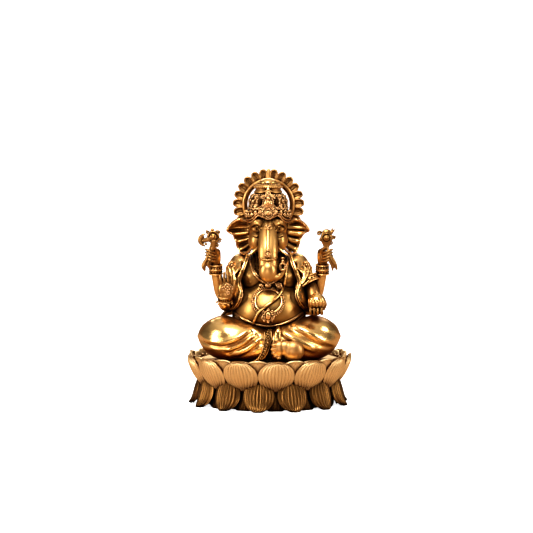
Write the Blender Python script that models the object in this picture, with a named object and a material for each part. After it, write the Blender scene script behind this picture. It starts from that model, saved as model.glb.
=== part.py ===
"""A small brass Ganesha seated on a double lotus, with a petalled halo behind the crown.

Every cast piece is one closed body. Lengths are in millimetres until a mesh is made.
X points to the viewer's right, -Y to the viewer, +Z up, with the origin under the middle of
the lotus. Right and left in the names are the figure's own, so right pieces are at -X.
"""

import math

import bmesh
import bpy
import numpy as np
from mathutils import Vector

for leftover in list(bpy.data.objects):
    bpy.data.objects.remove(leftover, do_unlink=True)

MM = 0.001
GAP = 0.3  # clearance between pieces that touch
CUT_GAP = 0.42  # swelling of a piece that cuts its neighbour; its corners still leave about GAP

# Lotus pedestal
PETAL_COUNT = 13
PETAL_TURN = math.radians(5.5)
FOOT_RADIUS = 33.6
WAIST_RADIUS = 29.4
RIM_RADIUS = 36.2
WAIST_HEIGHT = 9.6
RIM_HEIGHT = 21.6
SEAT_HEIGHT = 19.4
SEAT_THICKNESS = 1.6
PETAL_WALL = 1.1
CORE_WALL = 2.4

# Seated body, heights above the seat
TORSO_HEIGHT = 46.4
BELLY_HALF_WIDTH = 16.2
BELLY_HALF_DEPTH = 15.4
LEG_HEIGHT = 19.4
KNEE_REACH = 31.2
SHAWL_WALL = 1.2
SHOULDER_SWELL = 2.9
SHOULDER_INSET = 0.5
SHOULDER_DROP = 8.8
ARM_RADIUS = 3.2
WRIST_RADIUS = 2.2
REAR_BRACELET_HEIGHT = 3.8
FRONT_BRACELET_HEIGHT = 2.5
BRACELET_WALL = 0.8
BRACELET_GROOVE = 0.15
BEAD_RADIUS = 0.6

# Head, crown and halo, heights above the neck
HEAD_HALF_WIDTH = 8.1
HEAD_HEIGHT = 19.6
CROWN_OVERHANG = 1.5
CROWN_HEIGHT = 19.6
TRUNK_RADIUS = 4.2
EAR_REACH = 10.1
EAR_WALL = 0.9
HALO_HEIGHT = 21.8
HALO_BORE_RADIUS = 9.3
HALO_RING_RADIUS = 11.3
HALO_TIP_RADIUS = 15.4
HALO_RAY_COUNT = 23
HALO_THICKNESS = 2.0
HALO_SETBACK = 1.2

CROWN_RADIUS = HEAD_HALF_WIDTH + CROWN_OVERHANG


# ---------------------------------------------------------------- materials and helpers

def metal(name, colour, roughness):
    """Principled material of one cast metal finish."""
    finish = bpy.data.materials.new(name)
    finish.use_nodes = True
    shader = finish.node_tree.nodes["Principled BSDF"]
    shader.inputs["Base Color"].default_value = (*colour, 1)
    shader.inputs["Metallic"].default_value = 1
    shader.inputs["Roughness"].default_value = roughness
    finish.diffuse_color = (*colour, 1)
    return finish


POLISHED = metal("polished_brass", (0.78, 0.52, 0.20), 0.28)
SATIN = metal("satin_brass", (0.72, 0.46, 0.20), 0.45)
DARK = metal("dark_brass", (0.42, 0.29, 0.10), 0.40)


def empty(name, height, parent=None, x=0.0):
    """Marker that carries the pieces standing on it."""
    marker = bpy.data.objects.new(name, None)
    marker.location = (x * MM, 0, height * MM)
    marker.parent = parent
    bpy.context.collection.objects.link(marker)
    return marker


SEAT = empty("seat_surface", SEAT_HEIGHT)
NECK = empty("neck", TORSO_HEIGHT - 1.4, SEAT)
SHOULDERS = {
    side: empty(name, TORSO_HEIGHT - SHOULDER_DROP, SEAT, side * (BELLY_HALF_WIDTH - SHOULDER_INSET))
    for side, name in ((-1, "right_shoulder"), (1, "left_shoulder"))
}


def place(name, mesh, finish, parent):
    """Object for a mesh, with its finish, standing on its parent marker."""
    mesh.materials.append(finish)
    piece = bpy.data.objects.new(name, mesh)
    piece.parent = parent
    bpy.context.collection.objects.link(piece)
    return piece


def ring_body(name, rings, finish, parent=None, loop=False):
    """Closed body through rings of equal length: the ends are capped, or joined for a loop."""
    count = len(rings[0])
    shape = bmesh.new()
    rows = [[shape.verts.new(Vector(point) * MM) for point in ring] for ring in rings]
    pairs = list(zip(rows, rows[1:])) + ([(rows[-1], rows[0])] if loop else [])
    for low, high in pairs:
        for i in range(count):
            j = (i + 1) % count
            shape.faces.new((low[i], low[j], high[j], high[i]))
    for end in () if loop else (rows[0], rows[-1]):
        for i in range(count // 2 - 1):
            shape.faces.new((end[i], end[i + 1], end[count - 2 - i], end[count - 1 - i]))
    bmesh.ops.recalc_face_normals(shape, faces=shape.faces)
    mesh = bpy.data.meshes.new(name)
    shape.to_mesh(mesh)
    shape.free()
    mesh.shade_smooth()
    mesh.set_sharp_from_angle(angle=math.radians(50))
    return place(name, mesh, finish, parent)


def smooth(rows, steps, loop=False):
    """Rows read off a Catmull-Rom curve through the given rows, with steps to each span."""
    rows = np.asarray(rows, float)
    if loop:
        padded = np.vstack([rows[-1:], rows, rows[:2]])
    else:
        padded = np.vstack([2 * rows[0] - rows[1], rows, 2 * rows[-1] - rows[-2]])
    out = []
    for a, b, c, d in zip(padded, padded[1:], padded[2:], padded[3:]):
        for t in np.arange(steps) / steps:
            bend = 2 * b + (c - a) * t + (2 * a - 5 * b + 4 * c - d) * t**2
            out.append((bend + (3 * b - a - 3 * c + d) * t**3) / 2)
    return np.array(out if loop else out + [rows[-1]])


def turned(name, profile, finish, parent, sides=20, centre=(0, 0, 0), axis=(0, 0, 1), loop=False):
    """Body turned about its own axis from (radius, height) points, then stood along axis."""
    angles = np.arange(sides) * math.tau / sides
    rings = [[(r * math.cos(a), r * math.sin(a), h) for a in angles] for r, h in profile]
    piece = ring_body(name, rings, finish, parent, loop)
    piece.location = Vector(centre) * MM
    piece.rotation_euler = Vector(axis).to_track_quat("Z", "Y").to_euler()
    return piece


def upright(name, sections, finish, parent, sides=16, steps=2):
    """Body lofted upwards through elliptical (height, half-width, half-depth, x, y) sections."""
    angles = (np.arange(sides) + 0.5) * math.tau / sides
    rings = [
        [(x + w * math.cos(a), y + d * math.sin(a), h) for a in angles]
        for h, w, d, x, y in smooth(sections, steps)
    ]
    return ring_body(name, rings, finish, parent)


def tube(name, route, finish, parent, sides=8, steps=3, flat=1.0, loop=False):
    """Tapered tube along a smooth route of (x, y, z, radius); flat thins it front to back."""
    rows = smooth(route, steps, loop)
    points, radii = rows[:, :3], rows[:, 3]
    if loop:
        along = np.roll(points, -1, 0) - np.roll(points, 1, 0)
    else:
        along = np.gradient(points, axis=0)
    along /= np.linalg.norm(along, axis=1)[:, None]
    front = np.array([0.0, -1.0, 0.0]) if abs(along[0, 1]) < 0.9 else np.array([0.0, 0.0, 1.0])
    rings = []
    for point, way, radius in zip(points, along, radii):
        front = front - way * front.dot(way)
        front /= np.linalg.norm(front)
        side = np.cross(way, front)
        turns = np.arange(sides) * math.tau / sides
        rings.append([
            point + radius * (math.cos(t) * side + flat * math.sin(t) * front) for t in turns
        ])
    return ring_body(name, rings, finish, parent, loop)


def hide(tool):
    """Mark an object as a modelling aid that is no piece of the figure."""
    tool.hide_render = True
    tool.display_type = "WIRE"
    return tool


def boolean(piece, tool, operation):
    """Live exact Boolean of a piece with an aid."""
    step = piece.modifiers.new(operation.lower() + "_" + tool.name[:40], "BOOLEAN")
    step.operation = operation
    step.solver = "EXACT"
    step.object = tool


def clear(piece, *neighbours):
    """Cut a piece back so that it keeps the clearance to each neighbour."""
    for neighbour in neighbours:
        tool = neighbour.copy()
        tool.name = "clearance_of_" + neighbour.name
        swell = tool.modifiers.new("clearance", "DISPLACE")
        swell.strength = CUT_GAP * MM
        swell.mid_level = 0
        bpy.context.collection.objects.link(hide(tool))
        boolean(piece, tool, "DIFFERENCE")


def join(piece, *lumps):
    """Make several overlapping solids one body."""
    for lump in lumps:
        boolean(piece, hide(lump), "UNION")


# ---------------------------------------------------------------- lotus pedestal

def bowl_radius(height):
    """Outer radius of the upper petals, which open from the waist to the rim."""
    rise = max(0.0, (height - WAIST_HEIGHT) / (RIM_HEIGHT - WAIST_HEIGHT))
    return WAIST_RADIUS + (RIM_RADIUS - WAIST_RADIUS) * rise**0.85


def skirt_radius(height):
    """Outer radius of the lower petals, which spread from the waist to the ground."""
    return FOOT_RADIUS - (FOOT_RADIUS - WAIST_RADIUS) * (height / WAIST_HEIGHT) ** 0.7


def petal_ring(name, finish, base, valley, tip, radius_at, inset, swell, offset, facets):
    """Ring of joined petals from height base to a scalloped edge between valley and tip."""
    rows = np.linspace(0, 1, 4)
    rings = []
    for k in range(PETAL_COUNT * facets):
        across = 2 * (k % facets) / facets - 1
        angle = (k / facets - 0.5 + offset) * math.tau / PETAL_COUNT + PETAL_TURN - math.pi / 2
        edge = valley + (tip - valley) * (1 - abs(across) ** 2.4)
        heights = base + (edge - base) * rows
        crown = swell * (1 - across**2) * np.sin(np.pi * (0.15 + 0.6 * rows))
        outer = [(radius_at(h) - inset + c, h) for h, c in zip(heights, crown)]
        inner = [(radius_at(h) - inset - PETAL_WALL, h) for h in heights]
        rings.append([(r * math.cos(angle), r * math.sin(angle), h) for r, h in outer + inner[::-1]])
    return ring_body(name, rings, finish, loop=True)


UPPER_BASE = WAIST_HEIGHT + GAP / 2
petal_ring("lotus_lower_petals", DARK, base=WAIST_HEIGHT - GAP / 2, valley=4.6, tip=0,
           radius_at=skirt_radius, inset=0, swell=0.9, offset=0.5, facets=5)
petal_ring("lotus_outer_petals", SATIN, base=UPPER_BASE, valley=RIM_HEIGHT - 7.5, tip=RIM_HEIGHT,
           radius_at=bowl_radius, inset=0, swell=0.9, offset=0, facets=5)
petal_ring("lotus_inner_petals", SATIN, base=UPPER_BASE + 3, valley=RIM_HEIGHT - 5, tip=RIM_HEIGHT - 0.4,
           radius_at=bowl_radius, inset=PETAL_WALL + GAP, swell=0, offset=0.5, facets=4)

core_inset = 2 * (PETAL_WALL + GAP)
core_top = SEAT_HEIGHT - SEAT_THICKNESS - GAP
core_foot = WAIST_RADIUS - core_inset
core_side = [(bowl_radius(h) - core_inset, h) for h in np.linspace(core_top, WAIST_HEIGHT, 4)]
core_hollow = [
    (core_foot, 0),
    (core_foot - CORE_WALL, 0),
    (core_foot - CORE_WALL, WAIST_HEIGHT),
    (core_foot - CORE_WALL, core_top - CORE_WALL),
]
turned("lotus_core", core_side + core_hollow, DARK, None, sides=30)

seat_radius = bowl_radius(core_top) - core_inset
seat_rings = []
for radius, height in ((seat_radius, core_top + GAP), (seat_radius, SEAT_HEIGHT - 0.4),
                       (seat_radius - 1.2, SEAT_HEIGHT), (seat_radius - 4, SEAT_HEIGHT)):
    crimp = 0.35 if radius > seat_radius - 2 else 0
    turns = np.arange(52) * math.tau / 52
    seat_rings.append([
        ((radius - crimp * (k % 2)) * math.cos(t), (radius - crimp * (k % 2)) * math.sin(t), height)
        for k, t in enumerate(turns)
    ])
ring_body("seat_disc", seat_rings, SATIN)


# ---------------------------------------------------------------- torso and shawl

# Fraction of the torso's height, half-width and half-depth as shares of the belly's, centre y
TORSO_SHAPE = (
    (0.00, 0.68, 0.54, 4.0),
    (0.14, 0.76, 0.60, 3.6),
    (0.27, 0.92, 0.80, 0.8),
    (0.38, 1.00, 0.97, -1.4),
    (0.50, 0.98, 1.00, -1.6),
    (0.61, 0.90, 0.88, -0.8),
    (0.70, 0.84, 0.72, 0.2),
    (0.81, 0.90, 0.70, 0.6),
    (0.90, 0.77, 0.60, 1.2),
    (0.96, 0.52, 0.46, 2.0),
    (1.00, 0.36, 0.38, 2.2),
)


def torso_section(height):
    """Half-width, half-depth and centre y of the torso at a height above the seat."""
    shape = smooth(TORSO_SHAPE, 4)
    share = height / TORSO_HEIGHT
    width, depth, middle = (np.interp(share, shape[:, 0], shape[:, k]) for k in (1, 2, 3))
    return width * BELLY_HALF_WIDTH, depth * BELLY_HALF_DEPTH, middle


def on_chest(x, height, proud):
    """Point in front of the torso that stands proud of its skin by the given amount."""
    width, depth, middle = torso_section(height)
    share = min(abs(x) / (width + proud), 0.97)
    return x, middle - (depth + proud) * math.sqrt(1 - share**2), height


torso_rows = [
    (share * TORSO_HEIGHT + GAP, w * BELLY_HALF_WIDTH, d * BELLY_HALF_DEPTH, 0, y)
    for share, w, d, y in TORSO_SHAPE
]
torso = upright("torso", torso_rows, POLISHED, SEAT, sides=18, steps=2)

# Share of the torso's height and half of the shawl's opening in degrees, measured from the front
SHAWL_OPENING = (
    (0.44, 78), (0.50, 62), (0.57, 50), (0.65, 48), (0.74, 60), (0.84, 46), (0.91, 58), (0.965, 84),
)
shawl_rings = []
for share, opening in smooth(SHAWL_OPENING, 1):
    height = share * TORSO_HEIGHT
    width, depth, middle = torso_section(height)
    shoulder = SHOULDER_SWELL * math.exp(-(((share - 0.85) / 0.09) ** 2))
    arc = np.radians(np.linspace(opening, 360 - opening, 14))
    inner, outer = [], []
    for a in arc:
        skin = GAP + 0.25
        wall = skin + SHAWL_WALL + shoulder * abs(math.sin(a)) ** 1.5
        for side, proud in ((inner, skin), (outer, wall)):
            side.append(((width + proud) * -math.sin(a), middle - (depth + proud) * math.cos(a), height))
    shawl_rings.append(outer + inner[::-1])
shawl = ring_body("shawl", shawl_rings, POLISHED, SEAT)
clear(shawl, torso)


# ---------------------------------------------------------------- jewellery on the torso

def strand(name, spots, radius, layer, loop=False, steps=2, finish=POLISHED):
    """Rounded strand over the chest through (x, height) spots; higher layers pass in front."""
    proud = (GAP + radius) * 1.35 + layer
    route = [(*on_chest(x, h, proud), radius) for x, h in spots]
    return tube(name, route, finish, SEAT, sides=6, steps=steps, loop=loop)


LOOP_HALF_WIDTH = 6.7
LOOP_HALF_HEIGHT = 5.6
loop_middle = 0.535 * TORSO_HEIGHT
loop_turns = np.arange(20) * math.tau / 20
loop_spots = [
    (LOOP_HALF_WIDTH * math.sin(t), loop_middle + LOOP_HALF_HEIGHT * math.cos(t)) for t in loop_turns
]
long_necklace = strand("long_necklace", loop_spots, BEAD_RADIUS, 0, loop=True, steps=1)

collar_half = [(7.2, 0.955), (7.6, 0.91), (6.8, 0.85), (4.8, 0.79), (2.2, 0.745)]
collar = [(-x, s * TORSO_HEIGHT) for x, s in collar_half] + [(0, 0.735 * TORSO_HEIGHT)]
collar += [(x, s * TORSO_HEIGHT) for x, s in collar_half[::-1]]
short_necklace = strand("short_necklace", collar, BEAD_RADIUS, 0.25)

thread_spots = [(9.2, 0.93), (9.9, 0.86), (9.4, 0.78), (7.6, 0.67), (4.4, 0.595), (0.4, 0.52),
                (-3.2, 0.46), (-5.4, 0.41), (-6.6, 0.37)]
thread_layer = 2 * BEAD_RADIUS + 2 * GAP
sacred_thread = strand(
    "sacred_thread", [(x, s * TORSO_HEIGHT) for x, s in thread_spots], BEAD_RADIUS, thread_layer
)

belt_reach = 0.94 * BELLY_HALF_WIDTH
BELT_SPOT_COUNT = 13
belt_middle, belt_climb = 0.777 * LEG_HEIGHT, 0.275 * LEG_HEIGHT
belt_spots = [(x, belt_middle + belt_climb * (x / belt_reach) ** 2)
              for x in np.linspace(-belt_reach, belt_reach, BELT_SPOT_COUNT)]
waist_belt = strand("waist_belt", belt_spots, 0.9, 0)
clear(shawl, waist_belt)

px, py, ph = on_chest(0, loop_middle - LOOP_HALF_HEIGHT - 0.6, 1.7)
pendant = upright("pendant", [(-2.3, 0.5, 0.5, 0, 0), (-1.3, 2.0, 1.0, 0, 0), (0, 2.6, 1.3, 0, 0),
                              (1.3, 2.0, 1.0, 0, 0), (2.3, 0.5, 0.5, 0, 0)], POLISHED, SEAT, 12, 1)
pendant.location = Vector((px, py, ph)) * MM
clear(pendant, torso, long_necklace, sacred_thread)


# ---------------------------------------------------------------- legs, foot and sash

LEG_STATION_HEIGHT = 19.4  # height of the leg that the stations below are written for
LEG_SCALE = LEG_HEIGHT / LEG_STATION_HEIGHT


def folded_leg(name, side, stations):
    """Crossed leg lofted sideways through (reach, y, height, half-depth, half-height)."""
    rings = []
    turns = (np.arange(14) + 0.5) * math.tau / 14
    for share, y, height, depth, rise in smooth(stations, 2):
        rings.append([
            (
                side * share * KNEE_REACH,
                y + depth * math.cos(t),
                max(GAP, (height + rise * math.sin(t)) * LEG_SCALE),
            )
            for t in turns
        ])
    return ring_body(name, rings, POLISHED, SEAT)


RIGHT_LEG = (
    (1.0, -5, 10.6, 1.5, 1.5), (0.965, -5, 10.5, 5, 4.2), (0.90, -5.2, 10.3, 8, 6.6),
    (0.77, -6, 10.0, 11, 8.8), (0.58, -7, 9.7, 12.2, 9.7), (0.38, -9, 9.0, 11.2, 8.8),
    (0.20, -11.5, 8.2, 8.8, 7.6), (0.045, -13.5, 7.2, 6.4, 6.6),
)
LEFT_LEG = tuple(
    (1.0 - (1.0 - share) * 0.95, y, height, depth, rise) for share, y, height, depth, rise in RIGHT_LEG
)
right_leg = folded_leg("right_leg", -1, RIGHT_LEG)
left_leg = folded_leg("left_leg", 1, LEFT_LEG)

foot_rows = [(1.4, -20.4, 5.0, 1.6), (3.6, -20.2, 5.6, 3.6), (6.4, -19.6, 6.0, 4.1),
             (9.6, -19.2, 5.6, 4.2), (12.4, -18.8, 5.1, 3.8), (14.2, -18.6, 4.9, 1.8)]
left_foot = tube("left_foot", foot_rows, POLISHED, SEAT, sides=12, steps=2)

hem_rows = [(-0.6, -18.6, 14.2, 1.2), (-0.9, -20.3, 10.6, 1.5), (-1.9, -20.9, 7.0, 1.6),
            (-3.9, -20.4, 3.2, 1.5), (-5.6, -19.2, 1.0, 1.1)]
dhoti_hem = tube("dhoti_hem", hem_rows, POLISHED, SEAT, sides=8, steps=2, flat=0.5)
knot_rows = [(3.2, -18.8, 14.0, 1.0), (4.0, -19.6, 12.6, 1.5), (4.6, -20.4, 11.2, 1.1)]
sash_end = tube("sash_end", knot_rows, POLISHED, SEAT, sides=8, steps=2, flat=0.6)

clear(right_leg, torso, shawl, waist_belt, dhoti_hem, left_foot)
clear(left_leg, torso, shawl, waist_belt, left_foot, sash_end)
clear(dhoti_hem, torso, waist_belt)
clear(sash_end, torso, waist_belt, left_foot)


# ---------------------------------------------------------------- head, trunk, ears and tusks

def high(share):
    """Height above the neck of a share of the head's height."""
    return share * HEAD_HEIGHT


def wide(share):
    """Share of the head's half-width."""
    return share * HEAD_HALF_WIDTH


HEAD_X = -0.4
HEAD_Y = -1.8
head_rows = [
    (high(0.07), wide(0.50), wide(0.50), HEAD_X, -2.6),
    (high(0.16), wide(0.86), wide(0.84), HEAD_X, -2.6),
    (high(0.32), wide(0.98), wide(1.00), HEAD_X, -2.4),
    (high(0.52), wide(1.00), wide(1.06), HEAD_X, HEAD_Y),
    (high(0.72), wide(1.02), wide(1.06), HEAD_X, HEAD_Y),
    (high(0.86), wide(0.94), wide(0.96), HEAD_X, HEAD_Y),
    (high(0.96), wide(0.66), wide(0.68), HEAD_X, HEAD_Y),
    (high(1.00), wide(0.26), wide(0.26), HEAD_X, HEAD_Y),
]
head = upright("head", head_rows, POLISHED, NECK, sides=16, steps=1)
clear(head, torso, shawl, short_necklace, sacred_thread)

trunk_rows = [
    (HEAD_X, -8.0, high(0.66), 0.75), (HEAD_X, -10.6, high(0.52), 0.95), (HEAD_X, -12.6, high(0.36), 1.0),
    (HEAD_X, -14.6, high(0.16), 0.96), (-0.2, -16.0, -1.2, 0.92), (0.0, -16.8, -5.0, 0.86),
    (0.9, -16.4, -8.0, 0.66), (3.3, -15.2, -8.6, 0.50), (5.2, -14.6, -6.6, 0.43), (5.7, -14.8, -4.0, 0.42),
]
trunk = tube("trunk", [(x, y, z, r * TRUNK_RADIUS) for x, y, z, r in trunk_rows], POLISHED, NECK,
             sides=12, steps=2)
clear(trunk, head, torso, short_necklace, sacred_thread)

# Angle from the horizontal in degrees and the ear's reach as a share of its longest
EAR_OUTLINE = (
    (100, 0.50), (80, 0.66), (60, 0.79), (40, 0.90), (22, 0.985), (12, 1.00), (0, 0.83),
    (-15, 0.72), (-30, 0.70), (-45, 0.77), (-58, 0.85), (-70, 0.90), (-82, 0.72),
)
ears = []
for name, side in (("right_ear", -1), ("left_ear", 1)):
    sheet = bmesh.new()
    fans = []
    for angle, reach in EAR_OUTLINE:
        turn = math.radians(angle)
        fan = []
        for share in (0.22, 0.45, 0.7, 0.9, 1.0):
            fold = 0.5 * math.cos(math.radians(angle) * 7) * math.sin(share * math.pi * 0.8)
            out = wide(0.92) + share * reach * EAR_REACH * math.cos(turn)
            up = high(0.46) + share * reach * EAR_REACH * math.sin(turn)
            back = 0.6 + 2.6 * share**2 + fold
            fan.append(sheet.verts.new(Vector((HEAD_X + side * out, back, up)) * MM))
        fans.append(fan)
    for low, top in zip(fans, fans[1:]):
        for i in range(len(low) - 1):
            sheet.faces.new((low[i], low[i + 1], top[i + 1], top[i]))
    ear_mesh = bpy.data.meshes.new(name)
    sheet.to_mesh(ear_mesh)
    sheet.free()
    ear_mesh.shade_smooth()
    ear = place(name, ear_mesh, POLISHED, NECK)
    wall = ear.modifiers.new("wall", "SOLIDIFY")
    wall.thickness = EAR_WALL * MM
    wall.offset = 0
    clear(ear, head, shawl, torso)
    ears.append(ear)

for name, side in (("right_tusk", -1), ("left_tusk", 1)):
    tusk_rows = [(HEAD_X + side * x, y, z, r) for x, y, z, r in (
        (2.8, -11.4, 3.9, 0.95), (4.6, -13.0, 2.8, 0.9), (6.2, -14.2, 1.7, 0.75), (7.6, -15.0, 0.9, 0.35))]
    tusk = tube(name, tusk_rows, POLISHED, NECK, sides=8, steps=1)
    clear(tusk, trunk, head)


# ---------------------------------------------------------------- crown

CROWN_BASE = high(0.765)


def crown_height(share):
    """Height above the neck of a share of the crown's height."""
    return CROWN_BASE + share * CROWN_HEIGHT


def crown_part(name, profile, sides):
    """Turned tier of the crown from (share of crown radius, share of crown height) points."""
    points = [(r * CROWN_RADIUS, crown_height(h)) for r, h in profile]
    return turned(name, points, SATIN, NECK, sides, (HEAD_X, HEAD_Y, 0))


tier_gap = GAP / CROWN_HEIGHT
crown_band = crown_part("crown_band", [(0.60, 0.0), (0.93, 0.0), (1.0, 0.06), (0.99, 0.19), (0.94, 0.275),
                                       (0.60, 0.275)], 20)
crown_dome = crown_part("crown_dome", [(0.90, 0.275 + tier_gap), (0.93, 0.38), (0.90, 0.49), (0.76, 0.58),
                                       (0.62, 0.62)], 20)
crown_tier = crown_part("crown_tier", [(0.50, 0.62 + tier_gap), (0.62, 0.66), (0.56, 0.72), (0.63, 0.79),
                                       (0.50, 0.83)], 16)
crown_finial = crown_part("crown_finial", [(0.46, 0.83 + tier_gap), (0.53, 0.87), (0.45, 0.925),
                                           (0.28, 0.98), (0.10, 1.0)], 16)
clear(crown_band, head)
for covered in (trunk, *ears):
    clear(covered, crown_band)
# Share of the crown's height, half-width, half-depth and how far the middle stands before the dome
CREST_SHAPE = ((0.06, 1.6, 1.0, 1.1), (0.16, 3.6, 1.4, 1.1), (0.32, 4.6, 1.6, 0.9), (0.46, 3.8, 1.5, 0.6),
               (0.58, 2.2, 1.3, -0.5), (0.68, 0.7, 0.8, -1.5))
crest_front = HEAD_Y - 0.93 * CROWN_RADIUS
crest_rows = [
    (crown_height(share), width, depth, HEAD_X, crest_front - proud)
    for share, width, depth, proud in CREST_SHAPE
]
crown_crest = upright("crown_crest", crest_rows, SATIN, NECK, sides=12, steps=1)
clear(crown_crest, crown_band, crown_dome, crown_tier, head, trunk)


# ---------------------------------------------------------------- halo

HALO_Y = HEAD_Y + CROWN_RADIUS + HALO_SETBACK
halo_centre = (HEAD_X / 2, HALO_Y, HALO_HEIGHT)
half = HALO_THICKNESS / 2
ring_profile = [
    (HALO_BORE_RADIUS, -half * 0.5), (HALO_BORE_RADIUS + 0.4, -half * 0.7), (HALO_RING_RADIUS - 0.7, -half),
    (HALO_RING_RADIUS, -half * 0.6), (HALO_RING_RADIUS, half * 0.8), (HALO_BORE_RADIUS, half * 0.8),
]
turned("halo_ring", ring_profile, POLISHED, NECK, 36, halo_centre, (0, 1, 0), loop=True)

ray_root = HALO_RING_RADIUS + GAP
ray_facets = 4
ray_rings = []
for k in range(HALO_RAY_COUNT * ray_facets):
    across = 2 * (k % ray_facets) / ray_facets - 1
    tip = ray_root + 0.9 + (HALO_TIP_RADIUS - ray_root - 0.9) * (1 - abs(across) ** 2.2)
    angle = (k / ray_facets - 0.5) * math.tau / HALO_RAY_COUNT + math.pi / 2
    section = [(ray_root, -half * 0.5), (tip, -half * 0.2), (tip, half * 0.4), (ray_root, half * 0.6)]
    ray_rings.append([(r * math.cos(angle), y, r * math.sin(angle)) for r, y in section])
halo_rays = ring_body("halo_rays", ray_rings, POLISHED, NECK, loop=True)
halo_rays.location = Vector(halo_centre) * MM

stem_back = HALO_Y + half + 1.0
stem_rows = [(0, 13.6, -7.0, 2.2), (0, 13.0, -1.0, 2.2), (0, 12.0, 5.0, 2.0),
             (0, stem_back, halo_centre[2] - HALO_RING_RADIUS + 0.6, 1.9)]
halo_stem = tube("halo_stem", stem_rows, DARK, NECK, sides=8, steps=2, flat=0.35)
clear(halo_stem, shawl)


# ---------------------------------------------------------------- arms, hands and what they hold

def limb(name, side, rows, sides=10, steps=2, finish=POLISHED, flat=1.0):
    """Tube on one side, through (x outwards, y, height, radius) rows measured from the shoulder."""
    route = [(side * x, y, z, r) for x, y, z, r in rows]
    return tube(name, route, finish, SHOULDERS[side], sides, steps, flat)


def bracelet(name, side, arm, hand, centre, axis, height):
    """Cuff round a wrist with two bead rows; the arm and the hand meet inside its bore."""
    bore = WRIST_RADIUS + GAP
    outer = bore + BRACELET_WALL
    waist = outer - BRACELET_GROOVE
    profile = [(waist, -height / 2), (outer, -height / 4), (waist, 0), (outer, height / 4),
               (waist, height / 2), (bore, height / 2), (bore, -height / 2)]
    cuff = turned(name, profile, SATIN, SHOULDERS[side], 14, centre, axis, loop=True)
    clear(arm, cuff)
    clear(hand, cuff)
    return cuff


A = ARM_RADIUS
W = WRIST_RADIUS
REAR_ARM = [
    (-0.3, 4.6, 0.0, 0.80 * A), (1.5, 5.6, -4.6, A), (4.5, 5.4, -10.6, A), (5.7, 3.8, -9.0, 0.95 * A),
    (6.5, 2.2, -4.0, 0.82 * A), (7.0, 1.0, -0.6, W), (7.3, 0.2, 1.5, W),
]
REAR_HAND = [
    (7.35, 0.1, 1.9, W), (7.9, -0.4, 3.8, W), (8.9, -1.0, 6.6, 2.9), (9.2, -1.4, 9.2, 2.5),
    (8.9, -1.8, 11.0, 1.3),
]
STAFF = [
    (12.6, -4.6, 2.6, 0.9), (11.7, -4.4, 6.4, 0.8), (10.5, -3.9, 11.4, 0.8), (9.3, -3.3, 16.4, 0.8),
    (8.9, -3.1, 19.0, 1.0),
]
AXE_HEAD = [
    (15.3, -3.3, 14.6, 2.6), (14.1, -3.3, 14.4, 2.3), (12.7, -3.3, 14.8, 1.2), (11.2, -3.3, 15.4, 1.7),
    (9.5, -3.3, 15.6, 2.4), (7.7, -3.3, 15.6, 2.1), (6.7, -3.3, 15.8, 0.9),
]
GOAD_BUD = [
    (12.0, 0.8, 1.2, 9.4, -3.3), (13.6, 2.2, 1.8, 9.4, -3.3), (16.0, 2.8, 2.0, 9.4, -3.3),
    (17.8, 2.4, 1.8, 9.4, -3.3), (18.8, 1.6, 1.4, 9.4, -3.3),
]
rear_arms = {}
for name, side in (("right", -1), ("left", 1)):
    arm = rear_arms[side] = limb(name + "_rear_arm", side, REAR_ARM)
    clear(arm, torso, shawl)
    hand = limb(name + "_rear_hand", side, REAR_HAND)
    bracelet(name + "_rear_bracelet", side, arm, hand, (side * 7.3, 0.1, 1.7), (side * 0.22, -0.25, 1),
             REAR_BRACELET_HEIGHT)
    staff = limb("axe_handle" if side < 0 else "goad_staff", side, STAFF, sides=8, steps=1)
    clear(hand, staff)
    if side < 0:
        top = limb("axe_head", side, AXE_HEAD, 12, 1, SATIN, flat=0.8)
    else:
        top = upright("goad_head", GOAD_BUD, SATIN, SHOULDERS[side], 12, 1)
    clear(top, staff, hand)

UPPER_ARM = [(0.6, -1.4, -0.8, 0.60 * A), (1.6, -2.8, -5.6, 0.93 * A)]
RIGHT_FOREARM = [(3.2, -3.4, -10.0, 0.88 * A), (3.8, -5.6, -11.8, 0.82 * A), (3.7, -8.2, -11.4, 0.72 * A),
                 (3.6, -10.2, -10.0, W)]
LEFT_FOREARM = [(3.3, -3.4, -9.6, 0.88 * A), (4.2, -4.8, -12.0, 0.80 * A), (4.4, -6.4, -13.1, 0.72 * A),
                (4.5, -7.9, -13.9, W)]
right_front_arm = limb("right_front_arm", -1, UPPER_ARM + RIGHT_FOREARM)
left_front_arm = limb("left_front_arm", 1, UPPER_ARM + LEFT_FOREARM)
clear(right_front_arm, torso, shawl)
clear(left_front_arm, torso, shawl)

OPEN_PALM = [(3.5, -10.5, -9.6, W), (3.3, -11.4, -8.2, W), (2.5, -12.0, -6.0, 3.1), (2.3, -12.2, -3.6, 3.3),
             (2.4, -12.3, -1.2, 2.7)]
THUMB = [(0.5, -12.2, -6.2, 0.8), (-0.7, -12.6, -4.2, 0.75), (-0.9, -12.6, -2.2, 0.35)]
right_palm = limb("right_front_hand", -1, OPEN_PALM, flat=0.45)
digits = [limb("thumb", -1, THUMB, 6, 1)]
for x, tip in ((4.5, 0.6), (3.2, 1.7), (1.8, 1.6), (0.5, 0.8)):
    finger = [(x, -12.2, -3.0, 0.66), (x, -12.6, -0.8, 0.66), (x, -12.4, tip - 0.6, 0.6),
              (x, -12.1, tip, 0.3)]
    digits.append(limb("finger", -1, finger, 6, 1))
join(right_palm, *digits)
bracelet("right_front_bracelet", -1, right_front_arm, right_palm, (-3.55, -10.35, -9.8), (0.05, -0.8, 0.6),
         FRONT_BRACELET_HEIGHT)

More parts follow.
